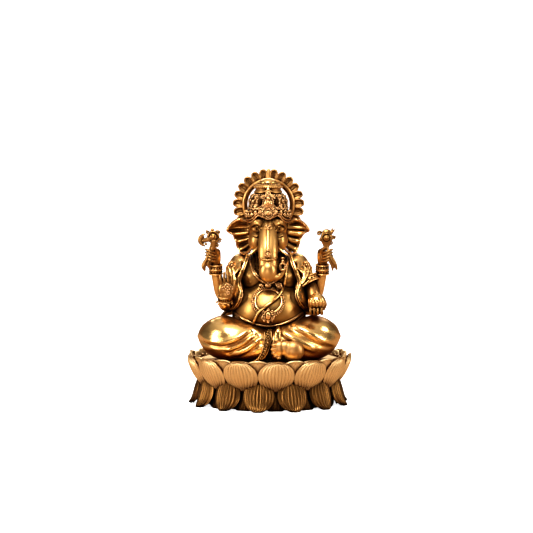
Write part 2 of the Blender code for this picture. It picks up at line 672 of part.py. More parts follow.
MODAK_PROFILE = [(0.6, -3.8), (2.6, -3.3), (3.9, -1.2), (3.7, 0.6), (2.2, 2.2), (0.9, 3.2), (0.3, 4.2)]
CUPPED_HAND = [(4.55, -8.25, -14.05, W), (4.6, -10.0, -14.7, 2.3), (4.8, -12.8, -15.2, 3.1),
               (4.9, -15.2, -14.8, 2.7), (5.0, -16.8, -13.8, 1.2)]
modak = turned("modak", MODAK_PROFILE, SATIN, SHOULDERS[1], 14, (4.7, -13.2, -11.4))
left_hand = limb("left_front_hand", 1, CUPPED_HAND)
clear(left_front_arm, modak)
clear(left_hand, modak, left_front_arm)
left_cuff = bracelet("left_front_bracelet", 1, left_front_arm, left_hand, (4.52, -8.05, -14.0),
                     (0.05, -0.93, -0.4), FRONT_BRACELET_HEIGHT)
clear(left_cuff, modak)

MARK_PROFILE = [(1.7, 0), (1.6, 0.5), (0.9, 0.8), (0.4, 0.9)]
palm_mark = turned("palm_mark", MARK_PROFILE, SATIN, SHOULDERS[-1], 12, (-2.3, -13.3, -4.8), (0, -1, 0.1))
clear(palm_mark, right_palm)

ARMLET_PROFILE = [(3.9, -1.6), (4.1, 0), (3.9, 1.6), (1.0, 1.6), (1.0, -1.6)]
left_armlet = turned("left_armlet", ARMLET_PROFILE, SATIN, SHOULDERS[1], 14, (2.3, -3.1, -7.6),
                     (-0.38, 0.13, 0.92), loop=True)
clear(left_armlet, left_front_arm, shawl, torso, rear_arms[1])
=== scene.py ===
"""Small antique-gold brass Ganesha seated on a double lotus, built up piece by piece."""

import math

import bpy
import bmesh
import numpy as np
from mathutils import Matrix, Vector


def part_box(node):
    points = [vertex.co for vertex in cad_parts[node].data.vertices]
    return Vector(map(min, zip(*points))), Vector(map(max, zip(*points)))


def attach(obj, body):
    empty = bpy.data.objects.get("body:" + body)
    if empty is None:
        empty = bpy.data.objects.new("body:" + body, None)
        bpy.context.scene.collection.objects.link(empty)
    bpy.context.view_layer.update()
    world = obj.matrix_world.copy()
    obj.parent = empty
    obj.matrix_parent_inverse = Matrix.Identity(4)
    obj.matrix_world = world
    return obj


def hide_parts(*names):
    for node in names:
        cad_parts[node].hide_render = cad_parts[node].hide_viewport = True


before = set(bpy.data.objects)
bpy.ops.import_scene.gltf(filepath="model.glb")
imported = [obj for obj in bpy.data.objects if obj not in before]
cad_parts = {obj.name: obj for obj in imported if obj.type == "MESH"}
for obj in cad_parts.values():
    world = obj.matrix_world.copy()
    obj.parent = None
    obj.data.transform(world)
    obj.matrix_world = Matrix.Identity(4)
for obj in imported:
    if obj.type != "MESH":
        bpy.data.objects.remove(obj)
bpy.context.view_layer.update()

# ---------------------------------------------------------------- Studio
# The figure stands on a pale table that sweeps up behind it. A long lens looks slightly down,
# and soft boxes overhead and at both sides give the metal something bright to mirror.

MM = 0.001
scene = bpy.context.scene
scene.view_settings.view_transform = "Standard"
scene.view_settings.look = "High Contrast"
camera = bpy.data.objects.new("camera", bpy.data.cameras.new("camera"))
scene.collection.objects.link(camera)
CAMERA_DISTANCE = 1.2
CAMERA_RISE = math.radians(4.6)
FRAME_WIDTH = 0.232
aim = Vector((-1.1 * MM, 0, 59.7 * MM))
camera.data.lens = camera.data.sensor_width * CAMERA_DISTANCE / FRAME_WIDTH
camera.location = aim + CAMERA_DISTANCE * Vector((0, -math.cos(CAMERA_RISE), math.sin(CAMERA_RISE)))
camera.rotation_euler = (aim - camera.location).to_track_quat("-Z", "Y").to_euler()
scene.camera = camera


def soft_box(name, place, size, power):
    """Rectangular lamp of the given width and height, facing the middle of the figure."""
    lamp = bpy.data.lights.new(name, "AREA")
    lamp.shape = "RECTANGLE"
    lamp.size, lamp.size_y = size
    lamp.energy = power
    holder = bpy.data.objects.new(name, lamp)
    holder.location = place
    holder.rotation_euler = (Vector((0, 0, 0.05)) - holder.location).to_track_quat("-Z", "Y").to_euler()
    scene.collection.objects.link(holder)


soft_box("overhead_box", (-0.10, -0.55, 0.85), (0.42, 0.30), 7.0)
soft_box("left_box", (-0.95, -0.42, 0.34), (0.16, 0.7), 4.4)
soft_box("right_box", (0.95, -0.36, 0.40), (0.16, 0.7), 3.6)
soft_box("low_front_box", (-0.25, -1.25, 0.10), (0.5, 0.12), 1.6)
soft_box("back_box", (0.0, 0.95, 0.70), (0.9, 0.3), 2.4)


def add_node(tree, kind, inputs):
    """Shader node whose inputs are filled: a socket is linked in, anything else is the value."""
    node = tree.nodes.new("ShaderNode" + kind)
    for key, given in inputs.items():
        if isinstance(given, bpy.types.NodeSocket):
            tree.links.new(given, node.inputs[key])
        else:
            node.inputs[key].default_value = given
    return node


# The metal mirrors a sky of pale and dark bands that is dim towards the lens; the lens itself
# sees plain white.
world = bpy.data.worlds.new("studio")
scene.world = world
world.use_nodes = True
sky = world.node_tree
split = add_node(sky, "SeparateXYZ", {0: add_node(sky, "TexCoord", {}).outputs["Generated"]})
height = add_node(sky, "MapRange", {"From Min": -1.0, "Value": split.outputs["Z"]})
by_height = add_node(sky, "ValToRGB", {0: height.outputs[0]})
for place, level in ((0.0, 0.06), (0.44, 0.10), (0.53, 0.34), (0.66, 0.06), (0.86, 0.34)):
    stop = by_height.color_ramp.elements[0] if place == 0 else by_height.color_ramp.elements.new(place)
    stop.color = (level, level * 0.97, level * 0.94, 1)
by_height.color_ramp.elements[-1].color = (0.7, 0.7, 0.7, 1)
by_depth = add_node(sky, "MapRange", {"From Min": -0.95, "From Max": -0.25, "Value": split.outputs["Y"]})
dim = add_node(sky, "MixRGB", {0: by_depth.outputs[0], 1: (0.05, 0.036, 0.026, 1), 2: by_height.outputs[0]})
sky.links.new(dim.outputs[0], sky.nodes["Background"].inputs["Color"])
choose = add_node(sky, "MixShader", {
    0: add_node(sky, "LightPath", {}).outputs["Is Camera Ray"],
    1: sky.nodes["Background"].outputs[0],
    2: add_node(sky, "Background", {"Color": (1, 1, 1, 1)}).outputs[0],
})
sky.links.new(choose.outputs[0], sky.nodes["World Output"].inputs["Surface"])

SWEEP_HALF_WIDTH, SWEEP_ROWS, FLAT_SHARE = 2.5, 40, 0.6
run = np.linspace(0, 1, SWEEP_ROWS)
bend = (run - FLAT_SHARE) / (1 - FLAT_SHARE) * np.pi / 2
depth = np.where(run < FLAT_SHARE, -2.2 + run / FLAT_SHARE * 3.4, 1.2 + 0.5 * np.sin(bend))
rise = np.where(run < FLAT_SHARE, 0.0, 1.5 * (1 - np.cos(bend)))
table_points = [(x, y, z) for y, z in zip(depth, rise)
                for x in (-SWEEP_HALF_WIDTH, SWEEP_HALF_WIDTH)]
table_mesh = bpy.data.meshes.new("table")
strips = [(2 * i, 2 * i + 1, 2 * i + 3, 2 * i + 2) for i in range(SWEEP_ROWS - 1)]
table_mesh.from_pydata(table_points, [], strips)
table_mesh.shade_smooth()
table = bpy.data.objects.new("table", table_mesh)
scene.collection.objects.link(table)
table_finish = bpy.data.materials.new("table_white")
table_finish.use_nodes = True
table_nodes = table_finish.node_tree
direct = add_node(table_nodes, "LightPath", {}).outputs["Is Camera Ray"]
shade = add_node(table_nodes, "MixRGB", {0: direct, 1: (0.42, 0.30, 0.21, 1), 2: (0.90, 0.89, 0.88, 1)})
glow = add_node(table_nodes, "MapRange", {"Value": direct, "To Max": 0.62})
table_shader = table_nodes.nodes["Principled BSDF"]
table_shader.inputs["Roughness"].default_value = 0.7
table_shader.inputs["Emission Color"].default_value = (1, 1, 1, 1)
table_nodes.links.new(shade.outputs[0], table_shader.inputs["Base Color"])
table_nodes.links.new(glow.outputs[0], table_shader.inputs["Emission Strength"])
table_mesh.materials.append(table_finish)


# ---------------------------------------------------------------- Lotus base
# The hollow core is a turned casting, painted near-black with the shade that the petals cast
# on it. It stands on its lower rim and carries the petals, so its material is made first and
# every other brass follows it.

def brass(name, bright, deep, roughness, reach=3.0, tarnish=0.35, grain=0.04, stroke=1.0):
    """Brass that stays bright on high ground and turns dark where a neighbour is within reach.

    Base colour is deep to bright by how open the surface is, with a cloudy tarnish: the darkening in
    hollows and between crowded parts is painted shade, standing also for their dark patina; roughness
    rises in the hollows and varies with a fine grain, which is also the bump.
    """
    finish = bpy.data.materials.new(name)
    finish.use_nodes = True
    tree = finish.node_tree
    place = add_node(tree, "TexCoord", {}).outputs["Object"]
    stretched = add_node(tree, "Mapping", {0: place, "Scale": (1, 1, stroke)}).outputs[0]
    cloud = add_node(tree, "TexNoise", {"Vector": place, "Scale": 160, "Detail": 4}).outputs["Fac"]
    fine = add_node(tree, "TexNoise", {"Vector": stretched, "Scale": 1500, "Detail": 3}).outputs["Fac"]

    # Painted shade: ambient occlusion darkens the base colour where a neighbour is within reach, standing
    # also for the dark patina of the hollows.
    open_sky = add_node(tree, "AmbientOcclusion", {"Distance": reach * MM})
    open_sky.samples = 6
    darkest, brightest = 0.42, 0.97
    lift = add_node(tree, "MapRange", {"Value": open_sky.outputs["AO"], "From Min": darkest,
                                       "From Max": brightest})
    smear = add_node(tree, "Math", {0: cloud, 1: tarnish, 2: -tarnish * 0.52})
    smear.operation = "MULTIPLY_ADD"
    shade_and_tarnish = add_node(tree, "Math", {0: lift.outputs[0], 1: smear.outputs[0]})
    shade_and_tarnish.operation = "ADD"
    shade_and_tarnish.use_clamp = True

    colour = add_node(tree, "ValToRGB", {0: shade_and_tarnish.outputs[0]})
    middle = tuple(0.45 * b + 0.55 * d for b, d in zip(bright, deep))
    colour.color_ramp.elements[0].color = (*deep, 1)
    colour.color_ramp.elements[1].color = (*bright, 1)
    colour.color_ramp.elements.new(0.5).color = (*middle, 1)
    worn = add_node(tree, "MapRange", {"Value": shade_and_tarnish.outputs[0], "To Min": roughness + 0.28,
                                       "To Max": roughness})
    speckle = add_node(tree, "Math", {0: fine, 1: 0.12, 2: worn.outputs[0]})
    speckle.operation = "MULTIPLY_ADD"
    bump = add_node(tree, "Bump", {"Height": fine, "Strength": 0.5, "Distance": grain * MM})

    shader = tree.nodes["Principled BSDF"]
    shader.inputs["Metallic"].default_value = 1.0
    tree.links.new(colour.outputs[0], shader.inputs["Base Color"])
    tree.links.new(speckle.outputs[0], shader.inputs["Roughness"])
    tree.links.new(bump.outputs[0], shader.inputs["Normal"])
    return finish


def box(node):
    """Lowest and highest corners of a node, in millimetres."""
    low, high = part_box(node)
    return np.array(low) / MM, np.array(high) / MM


def refinish(node, finish):
    """Give a carried-over piece its finish."""
    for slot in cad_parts[node].material_slots:
        slot.material = finish


def piece(name, sheets, finish, slot, *nodes, wall=0.0, outward=True, weld=0.0, ease=0):
    """One object from point grids, in millimetres.

    Each sheet is (points, close_rows, close_columns); points is a grid, or a stack of equal
    grids. Rows and columns wrap round where closed, and points that coincide are merged.
    wall gives an open sheet its thickness; weld re-skins overlapping lumps as one body.
    """
    corners, quads, base = [], [], 0
    for points, close_rows, close_columns in sheets:
        stack = points[None] if points.ndim == 3 else points
        count, rows, columns = stack.shape[:3]
        r = np.arange(rows if close_rows else rows - 1)[:, None]
        c = np.arange(columns if close_columns else columns - 1)[None, :]
        r2, c2 = (r + 1) % rows, (c + 1) % columns
        face = np.stack([r * columns + c, r * columns + c2, r2 * columns + c2, r2 * columns + c], -1)
        face = face.reshape(1, -1, 4) + (np.arange(count) * rows * columns)[:, None, None] + base
        quads.append(face.reshape(-1, 4))
        corners.append(stack.reshape(-1, 3))
        base += count * rows * columns
    mesh = bpy.data.meshes.new(name)
    mesh.from_pydata((np.concatenate(corners) * MM).tolist(), [], np.concatenate(quads).tolist())
    shape = bmesh.new()
    shape.from_mesh(mesh)
    bmesh.ops.remove_doubles(shape, verts=shape.verts, dist=0.002 * MM)
    if outward:
        bmesh.ops.recalc_face_normals(shape, faces=shape.faces)
    shape.to_mesh(mesh)
    shape.free()
    mesh.materials.append(finish)
    made = bpy.data.objects.new(name, mesh)
    scene.collection.objects.link(made)
    if weld:
        skin = made.modifiers.new("skin", "REMESH")
        skin.mode = "VOXEL"
        skin.voxel_size = weld * MM
        skin.use_smooth_shade = True
    if ease:
        soften = made.modifiers.new("soften", "SMOOTH")
        soften.factor = 0.5
        soften.iterations = ease
    if wall:
        shell = made.modifiers.new("wall", "SOLIDIFY")
        shell.thickness = wall * MM
        shell.offset = -1
    mesh.shade_smooth()
    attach(made, "root")
    if nodes:
        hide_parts(*nodes)
    return made


seat = box("seat_disc")[1][2]
ground_low, ground_high = box("lotus_lower_petals")
rim_low, rim_high = box("lotus_outer_petals")
rim_radius = (rim_high[0] - rim_low[0]) / 2
foot_radius = (ground_high[0] - ground_low[0]) / 2
waist_height = rim_low[2] - 0.15
waist_radius = 29.4
PETAL_COUNT = 13
PETAL_TURN = math.radians(5.5) - math.pi / 2
PITCH = math.tau / PETAL_COUNT


def bowl(z):
    """Radius of the upper petals: opens from the waist to the rim, faster at first."""
    rise = np.clip((z - waist_height) / (rim_high[2] - waist_height), 0, 1.1)
    return waist_radius + (rim_radius - 1.0 - waist_radius) * rise**0.85


def skirt(z):
    """Radius of the lower petals: spreads from the waist to the ground."""
    return foot_radius - 1.2 - (foot_radius - 1.2 - waist_radius) * (np.clip(z, 0, 12) / 12) ** 0.7


def petal_row(radius_at, low, high, half_angle, turn, swell, ribs, rib_depth, lip, columns, rows,
              fullness, hang=0.0):
    """Row of cupped petals. A petal is an oval: its height follows a sine from low to high, its
    width a cosine to the power fullness; it swells in the middle, is ribbed lengthways by a
    rounded cosine, and its border is raised."""
    s = np.linspace(-1, 1, rows)[:, None]
    a = np.linspace(-1, 1, columns)[None, :]
    z = (low + high) / 2 + (high - low) / 2 * np.sin(s * np.pi / 2) + 0 * a
    width = np.cos(s * np.pi / 2) ** fullness
    rib = (0.5 + 0.5 * np.cos(2 * np.pi * ribs * a / 2)) ** 0.6
    quiet = np.clip((1 - s) * 1.6, 0, 1) * np.clip((1 - np.abs(a)) * 4, 0, 1)
    cup = swell * (1 - a**2) * (np.cos(s * np.pi / 2 * 0.9) + hang * (1 - s) / 2)
    border = 0.28 * np.exp(-(((1 - np.abs(a)) / 0.07) ** 2)) + lip * np.exp(-(((1 - s) / 0.16) ** 2))
    radius = radius_at(z) + cup + border + rib_depth * rib * quiet - (0.9 - hang) * (1 - width) * (s < 0)
    angle = turn + a * half_angle * width
    angles = angle[None] + (np.arange(PETAL_COUNT) * PITCH + PETAL_TURN)[:, None, None]
    return np.stack([radius * np.cos(angles), radius * np.sin(angles), np.broadcast_to(z, angles.shape)],
                    -1)


SHADOW = brass("cast_shadow_brass", (0.08, 0.035, 0.012), (0.006, 0.002, 0.001), roughness=0.5)
# The core is painted near-black with the shade the petals cast on it.
refinish("lotus_core", SHADOW)

# The upper petals are matte copper-gold ovals, ribbed lengthways like shells, with a thin
# rolled lip. They are cast as one row round the core; a second row shows between their tips.
SATIN = brass("satin_copper_brass", (1.0, 0.73, 0.385), (0.17, 0.05, 0.013), roughness=0.40, reach=4.0,
              tarnish=0.3, grain=0.08, stroke=0.3)
outer = petal_row(bowl, waist_height - 1.4, rim_high[2] - 0.3, 0.50 * PITCH, turn=0, swell=1.5, ribs=11,
                  rib_depth=0.36, lip=0.3, columns=89, rows=34, fullness=0.86)
piece("lotus_outer_row", [(outer, False, False)], SATIN, "satin_brass", "lotus_outer_petals",
      wall=0.9, outward=False)
inner_low = waist_height + 2.0
inner = petal_row(lambda z: bowl(z) - 1.3, inner_low, rim_high[2] - 0.1, 0.42 * PITCH, turn=PITCH / 2,
                  swell=0.5, ribs=7, rib_depth=0.12, lip=0.3, columns=43, rows=22, fullness=0.8)
far_inner = petal_row(lambda z: bowl(z) - 2.3, inner_low + 1, rim_high[2] - 0.5, 0.45 * PITCH, turn=0,
                      swell=0.3, ribs=7, rib_depth=0.12, lip=0.3, columns=31, rows=18, fullness=0.8)
piece("lotus_inner_row", [(inner, False, False), (far_inner, False, False)], SATIN, "satin_brass",
      "lotus_inner_petals", wall=0.8, outward=False)

# The lower petals droop to the ground. They are a darker olive brass, with wider ribs, a
# raised edge and a second row of tips behind.
OLIVE = brass("olive_brass", (0.25, 0.125, 0.040), (0.012, 0.004, 0.001), roughness=0.24, reach=5.5,
              tarnish=0.45, grain=0.06, stroke=0.4)
lower = petal_row(skirt, 0.15, waist_height + 3.4, 0.455 * PITCH, turn=PITCH / 2, swell=1.3, ribs=9,
                  rib_depth=0.34, lip=0.0, columns=73, rows=30, fullness=0.9, hang=1.0)
flare = np.exp(-((lower[..., 2] / 1.6) ** 2)) * 0.9
lower[..., :2] *= 1 + (flare / np.hypot(lower[..., 0], lower[..., 1]))[..., None]
hind = petal_row(lambda z: skirt(z) - 1.9, 0.1, waist_height + 3.4, 0.44 * PITCH, turn=0, swell=0.8,
                 ribs=6, rib_depth=0.15, lip=0.0, columns=37, rows=20, fullness=0.75)
piece("lotus_lower_row", [(lower, False, False), (hind, False, False)], OLIVE, "dark_brass",
      "lotus_lower_petals", wall=0.8, outward=False)

# The seed disc inside the flower is crimped at its edge, with a fringe of stamens that end in
# small round anthers.
refinish("seat_disc", SATIN)


def ball_grid(columns=8, rows=6):
    """Unit ball as a grid: rows run from pole to pole, columns go round."""
    lat = np.linspace(-np.pi / 2, np.pi / 2, rows)[:, None]
    lon = np.linspace(0, 2 * np.pi, columns, endpoint=False)[None, :]
    return np.stack([np.cos(lat) * np.cos(lon), np.cos(lat) * np.sin(lon), np.sin(lat) + 0 * lon], -1)


def balls(centres, radii, columns=8, rows=6):
    """Stack of balls, or of ellipsoids where a radius is a triple."""
    centres = np.asarray(centres, float).reshape(-1, 1, 1, 3)
    radii = np.asarray(radii, float)
    if radii.ndim < 2:
        radii = np.broadcast_to(radii.reshape(-1, 1), (len(centres), 3))
    return (centres + ball_grid(columns, rows)[None] * radii[:, None, None, :], False, True)


seat_radius = box("seat_disc")[1][0]
STAMEN_COUNT = 84
stamen = np.arange(STAMEN_COUNT)
ring = stamen * math.tau / STAMEN_COUNT
stamen_reach = seat_radius - 0.8 + 0.5 * (stamen % 2)
anthers = np.stack([stamen_reach * np.cos(ring), stamen_reach * np.sin(ring),
                    seat + 0.25 + 0.3 * (stamen % 3)], -1)
piece("stamens", [balls(anthers, 0.55)], SATIN, "satin_brass")


# ---------------------------------------------------------------- Torso
# A round belly under a soft chest, cast as one body and rubbed bright. The breasts rest on the
# belly with a sharp crease between them, and the navel sits low, just above the belt.

def flow(stations, count, closed=False):
    """Catmull-Rom curve through the stations: count rows, each a blend of four neighbours."""
    rows = np.asarray(stations, float)
    if closed:
        pad = np.vstack([rows[-1:], rows, rows[:2]])
        t = np.linspace(0, len(rows), count, endpoint=False)
    else:
        pad = np.vstack([2 * rows[:1] - rows[1:2], rows, 2 * rows[-1:] - rows[-2:-1]])
        t = np.linspace(0, len(rows) - 1, count)
    i = np.minimum(t.astype(int), len(pad) - 4)
    u = (t - i)[:, None]
    a, b, c, d = pad[i], pad[i + 1], pad[i + 2], pad[i + 3]
    square, cube = 2 * a - 5 * b + 4 * c - d, 3 * b - a - 3 * c + d
    return 0.5 * (2 * b + (c - a) * u + square * u**2 + cube * u**3)


def hump(distance, width):
    """Bell curve: 1 at no distance, falling to 1/e at width."""
    return np.exp(-((distance / width) ** 2))


torso_low, torso_high = box("torso")
TORSO_ROWS = np.array([
    (0, 0.68, 0.54, 4), (0.14, 0.76, 0.60, 3.6), (0.27, 0.92, 0.80, 0.8), (0.38, 1, 0.97, -1.4),
    (0.50, 0.98, 1, -1.6), (0.61, 0.90, 0.88, -0.8), (0.70, 0.84, 0.72, 0.2), (0.81, 0.90, 0.70, 0.6),
    (0.90, 0.77, 0.60, 1.2), (0.96, 0.52, 0.46, 2), (1, 0.36, 0.38, 2.2),
])
torso_grid = flow(TORSO_ROWS, 200)
torso_z = torso_low[2] + torso_grid[:, 0] * (torso_high[2] - torso_low[2])
BELLY_HALF_WIDTH, BELLY_HALF_DEPTH = 16.0, 15.3


def torso_size(z):
    """Half width, half depth and middle y of the torso at a height."""
    return (BELLY_HALF_WIDTH * np.interp(z, torso_z, torso_grid[:, 1]),
            BELLY_HALF_DEPTH * np.interp(z, torso_z, torso_grid[:, 2]),
            np.interp(z, torso_z, torso_grid[:, 3]))


def chest_relief(x, z):
    """Breasts and belly raised, creases and navel sunk; x is measured from the middle."""
    side = np.abs(x)
    crease = 50.7 + 0.10 * (side - 9.2) ** 2
    breast = 2.0 * hump(side - 8.6, 4.4) * hump(z - 55.6, 3.8)
    fold = -1.7 * hump(z - crease, 0.75) * hump(side - 9, 5.2)
    fold_lip = 0.5 * hump(z - crease + 1.6, 1.5) * hump(side - 9, 5)
    cleft = -0.7 * hump(side, 1.0) * hump(z - 57, 5)
    nipple = 0.4 * hump(np.hypot(side - 8.2, z - 53.6), 0.4)
    from_navel = np.hypot(x + 0.2, z - 36.6)
    navel = -1.3 * hump(from_navel, 0.62) + 0.35 * hump(from_navel - 1.15, 0.4)
    return breast + fold + fold_lip + cleft + nipple + navel


def on_torso(x, z, lift=0.0):
    """Points on the front of the torso, raised by lift."""
    x, z = np.asarray(x, float), np.asarray(z, float)
    half_width, half_depth, middle = torso_size(z)
    across = np.clip(x / half_width, -0.97, 0.97)
    depth = np.sqrt(1 - across**2)
    forward = half_depth * depth + (chest_relief(x, z) + lift) * np.sqrt(depth)
    return np.stack([x, middle - forward, z], -1)


levels = torso_z[:, None]
around_torso = np.linspace(0, math.tau, 180, endpoint=False)[None, :]
half_width, half_depth, middle = torso_size(levels)
half_depth = half_depth * (1 - 0.12 * np.clip(np.sin(around_torso), 0, 1))
torso_x = half_width * np.cos(around_torso)
facing = np.clip(-np.sin(around_torso), 0, 1)
torso_y = middle + half_depth * np.sin(around_torso) - chest_relief(torso_x, levels) * facing**0.5
behind = np.clip(np.sin(around_torso) * 1.5 + 0.3, 0, 1)
spine_dip = 0.9 * hump(torso_x, 1.6) * behind
BACK_PLEATS = 26
pleated = 1 + 0.035 * np.sin(around_torso * BACK_PLEATS) * behind * np.clip((37 - levels) / 6, 0, 1)
torso_skin = np.stack([torso_x * pleated, (torso_y - spine_dip) * pleated, levels + 0 * torso_x], -1)


def closed(grid):
    """Grid of rings whose ends are shut: a pole at the mean of the first ring and of the last."""
    start = np.broadcast_to(grid[0].mean(0), grid[:1].shape)
    end = np.broadcast_to(grid[-1].mean(0), grid[:1].shape)
    return np.concatenate([start, grid, end])


BELLY_BRASS = brass("belly_brass", (0.46, 0.265, 0.09), (0.03, 0.008, 0.002), roughness=0.30, reach=4.5,
                    tarnish=0.5)
piece("torso_skin", [(closed(torso_skin), False, True)], BELLY_BRASS, "polished_brass", "torso")


# ---------------------------------------------------------------- Legs
# Crossed legs wrapped in thin cloth, polished almost to a mirror. Each thigh is a long cushion
# with a pointed knee, and the cloth is drawn into creases that fan out from the waist.

LEG_ROWS = np.array([
    (1.0, -5, 10.4, 0.25, 0.25), (0.985, -5, 10.4, 1.9, 1.4), (0.968, -5, 10.4, 3.5, 2.7),
    (0.93, -5.1, 10.3, 6.0, 4.7), (0.875, -5.4, 10.1, 8.2, 6.4), (0.80, -5.8, 10, 10.2, 8.0),
    (0.70, -6.4, 9.9, 11.6, 9.2), (0.58, -7, 9.7, 12.4, 9.7), (0.38, -9, 9.1, 11.3, 8.9),
    (0.20, -11.5, 8.2, 9.2, 7.8), (0.045, -13.5, 7.3, 7.0, 6.8),
])
CUSHION_TURNS = np.linspace(0, math.tau, 200, endpoint=False)[None, :]


def crease(x, z, path, depth, width, ridge):
    """Cloth crease along a path of (x, z): a groove, with a soft ridge on its upper side.

    The groove is measured by height above the path and fades out past both ends of it.
    """
    path = np.asarray(path, float)
    order = np.argsort(path[:, 0])
    line = flow(path[order], 60)
    gap = z - np.interp(x, line[:, 0], line[:, 1])
    slope = np.interp(x, line[:, 0], np.gradient(line[:, 1], line[:, 0]))
    gap = gap / np.sqrt(1 + slope**2)
    ends = np.clip((x - line[0, 0]) / 3.5 + 0.9, 0, 1) * np.clip((line[-1, 0] - x) / 3.5 + 0.9, 0, 1)
    ends = ends * ends * (3 - 2 * ends)
    return ends * (ridge * hump(gap - 1.9 * width, 1.7 * width) - depth * hump(gap, width))


def leg(side, creases):
    """One folded leg as rings from the knee to the middle, with its creases on the front and top."""
    low, high = box("right_leg" if side < 0 else "left_leg")
    tip = abs(low[0] if side < 0 else high[0])
    rows = flow(LEG_ROWS, 150)
    share, y, z, half_y, half_z = (rows[:, k:k + 1] for k in range(5))
    x = side * tip * share
    outline_y, outline_z = np.cos(CUSHION_TURNS), np.sin(CUSHION_TURNS)
    flat_y = np.sign(outline_y) * np.abs(outline_y) ** 0.92
    points_y, points_z = y + half_y * flat_y, seat + z + half_z * outline_z
    front = np.clip(0.55 - flat_y * 0.9, 0, 1)
    raised = sum(crease(x + 0 * points_y, points_z, *line) for line in creases) * front
    body_taper = np.clip(half_y / 6, 0, 1)
    points_y = points_y + outline_y * raised * body_taper
    points_z = points_z + outline_z * raised * body_taper * 0.5
    return np.stack([x + 0 * points_y, points_y, np.maximum(points_z, seat + 0.35)], -1)


right_creases = [
    ([(-30.6, 29.2), (-27, 27.2), (-20, 26.6), (-13.6, 28.6), (-7.5, 32.6)], 1.5, 0.9, 0.8),
    ([(-17, 23.8), (-10.8, 26.8), (-5.6, 31.2)], 1.2, 0.85, 0.9),
    ([(-13.5, 21.6), (-8.4, 24.2), (-4, 28.2)], 1.0, 0.8, 0.7),
    ([(-22, 36.8), (-16, 37.8), (-11, 36.2)], 0.6, 0.8, 0.5),
]
left_creases = [
    ([(9.0, 34.6), (14.6, 31.4), (20.6, 27.8), (26.0, 25.8)], 1.2, 1.25, 0.9),
    ([(5.4, 31.2), (9.8, 28.0), (14.2, 25.2), (18.4, 23.4)], 1.0, 1.1, 0.8),
    ([(13.6, 37.4), (20, 35.2), (26.4, 31.8), (29.6, 30.0)], 0.5, 1.5, 0.5),
]
LEG_BRASS = brass("leg_brass", (1.0, 0.63, 0.25), (0.18, 0.05, 0.009), roughness=0.18, reach=8.0,
                  tarnish=0.3)
piece("right_leg_cloth", [(closed(leg(-1, right_creases)), False, True)], LEG_BRASS, "polished_brass",
      "right_leg")
piece("left_leg_cloth", [(closed(leg(1, left_creases)), False, True)], LEG_BRASS, "polished_brass",
      "left_leg")


def sweep(stations, count=40, columns=12, flat=1.0, up=(0, 0, 1), loop=False):
    """Tube through stations of (x, y, z, radius), with round ends unless it is a loop.

    flat scales the section along the direction nearest to up.
    """
    rows = flow(stations, count, loop)
    spine, radius = rows[:, :3], rows[:, 3]
    if loop:
        along = np.roll(spine, -1, 0) - np.roll(spine, 1, 0)
    else:
        along = np.gradient(spine, axis=0)
    along /= np.linalg.norm(along, axis=1, keepdims=True)
    if not loop:
        swell = np.array([1.0, 0.87, 0.5])
        shrink = np.array([0.02, 0.5, 0.87])
        head_spine = spine[:1] - along[:1] * radius[0] * swell[:, None]
        tail_spine = spine[-1:] + along[-1:] * radius[-1] * swell[::-1, None]
        spine = np.concatenate([head_spine, spine, tail_spine])
        radius = np.concatenate([radius[0] * shrink, radius, radius[-1] * shrink[::-1]])
        along = np.concatenate([np.repeat(along[:1], 3, 0), along, np.repeat(along[-1:], 3, 0)])
    side = np.cross(along, np.array(up, float))
    side /= np.linalg.norm(side, axis=1, keepdims=True) + 1e-9
    top = np.cross(side, along)
    turn = np.linspace(0, math.tau, columns, endpoint=False)
    ring_points = side[:, None] * np.cos(turn)[:, None] + top[:, None] * (flat * np.sin(turn))[:, None]
    grid = spine[:, None] + ring_points * radius[:, None, None]
    return (grid, True, True) if loop else (closed(grid), False, True)


def chain(path, spacing, radius, columns=8, rows=6):
    """Balls set at an even spacing along a path of points."""
    path = np.asarray(path, float)
    walked = np.concatenate([[0], np.cumsum(np.linalg.norm(np.diff(path, axis=0), axis=1))])
    stops = np.linspace(0, walked[-1], max(2, int(walked[-1] / spacing) + 1))
    centres = np.stack([np.interp(stops, walked, path[:, k]) for k in range(3)], -1)
    return balls(centres, np.full(len(centres), radius), columns, rows)


def thick(points, radius):
    """Stations of an even radius from a list of points."""
    points = np.asarray(points, float)
    return np.concatenate([points, np.full((len(points), 1), radius)], 1)


# A pleated hem falls between the shins: a strip of beadwork between two cords, curving to the
# wearer's right. Beside it the loose end of the sash hangs as one bright tongue.
hem_front = box("dhoti_hem")[0][1] + 1.6
hem_line = flow([(-0.6, hem_front + 2.2, 33.0), (-0.4, hem_front + 0.6, 30.5), (-0.9, hem_front, 27.4),
                 (-2.0, hem_front, 24.2), (-3.8, hem_front + 0.6, 21.6), (-5.6, hem_front + 1.4, 20.4)],
                 60)
across_hem = np.array([1.35, 0, 0.35])
strip = hem_line[:, None] + np.linspace(-1, 1, 9)[None, :, None] * across_hem
strip = strip + np.array([0, -0.5, 0]) * np.cos(np.linspace(-1, 1, 9) * 1.4)[None, :, None]
hem_sheets = [
    (np.concatenate([strip, (strip + np.array([0, 1.6, 0]))[:, ::-1]], 1), False, True),
    sweep(thick(hem_line[::6] + across_hem + (0, -0.2, 0), 0.36), 60),
    sweep(thick(hem_line[::6] - across_hem + (0, -0.2, 0), 0.36), 60),
    chain(hem_line + (0, -0.6, 0), 1.25, 0.52),
    chain(hem_line + across_hem * 0.5 + (0, -0.5, 0.5), 1.25, 0.3),
    chain(hem_line - across_hem * 0.5 + (0, -0.5, 0.5), 1.25, 0.3),
]
HANDLED = brass("handled_brown_brass", (0.45, 0.245, 0.088), (0.012, 0.003, 0.001), roughness=0.25,
                reach=1.7, tarnish=0.4)
piece("beaded_hem", hem_sheets, HANDLED, "polished_brass", "dhoti_hem")
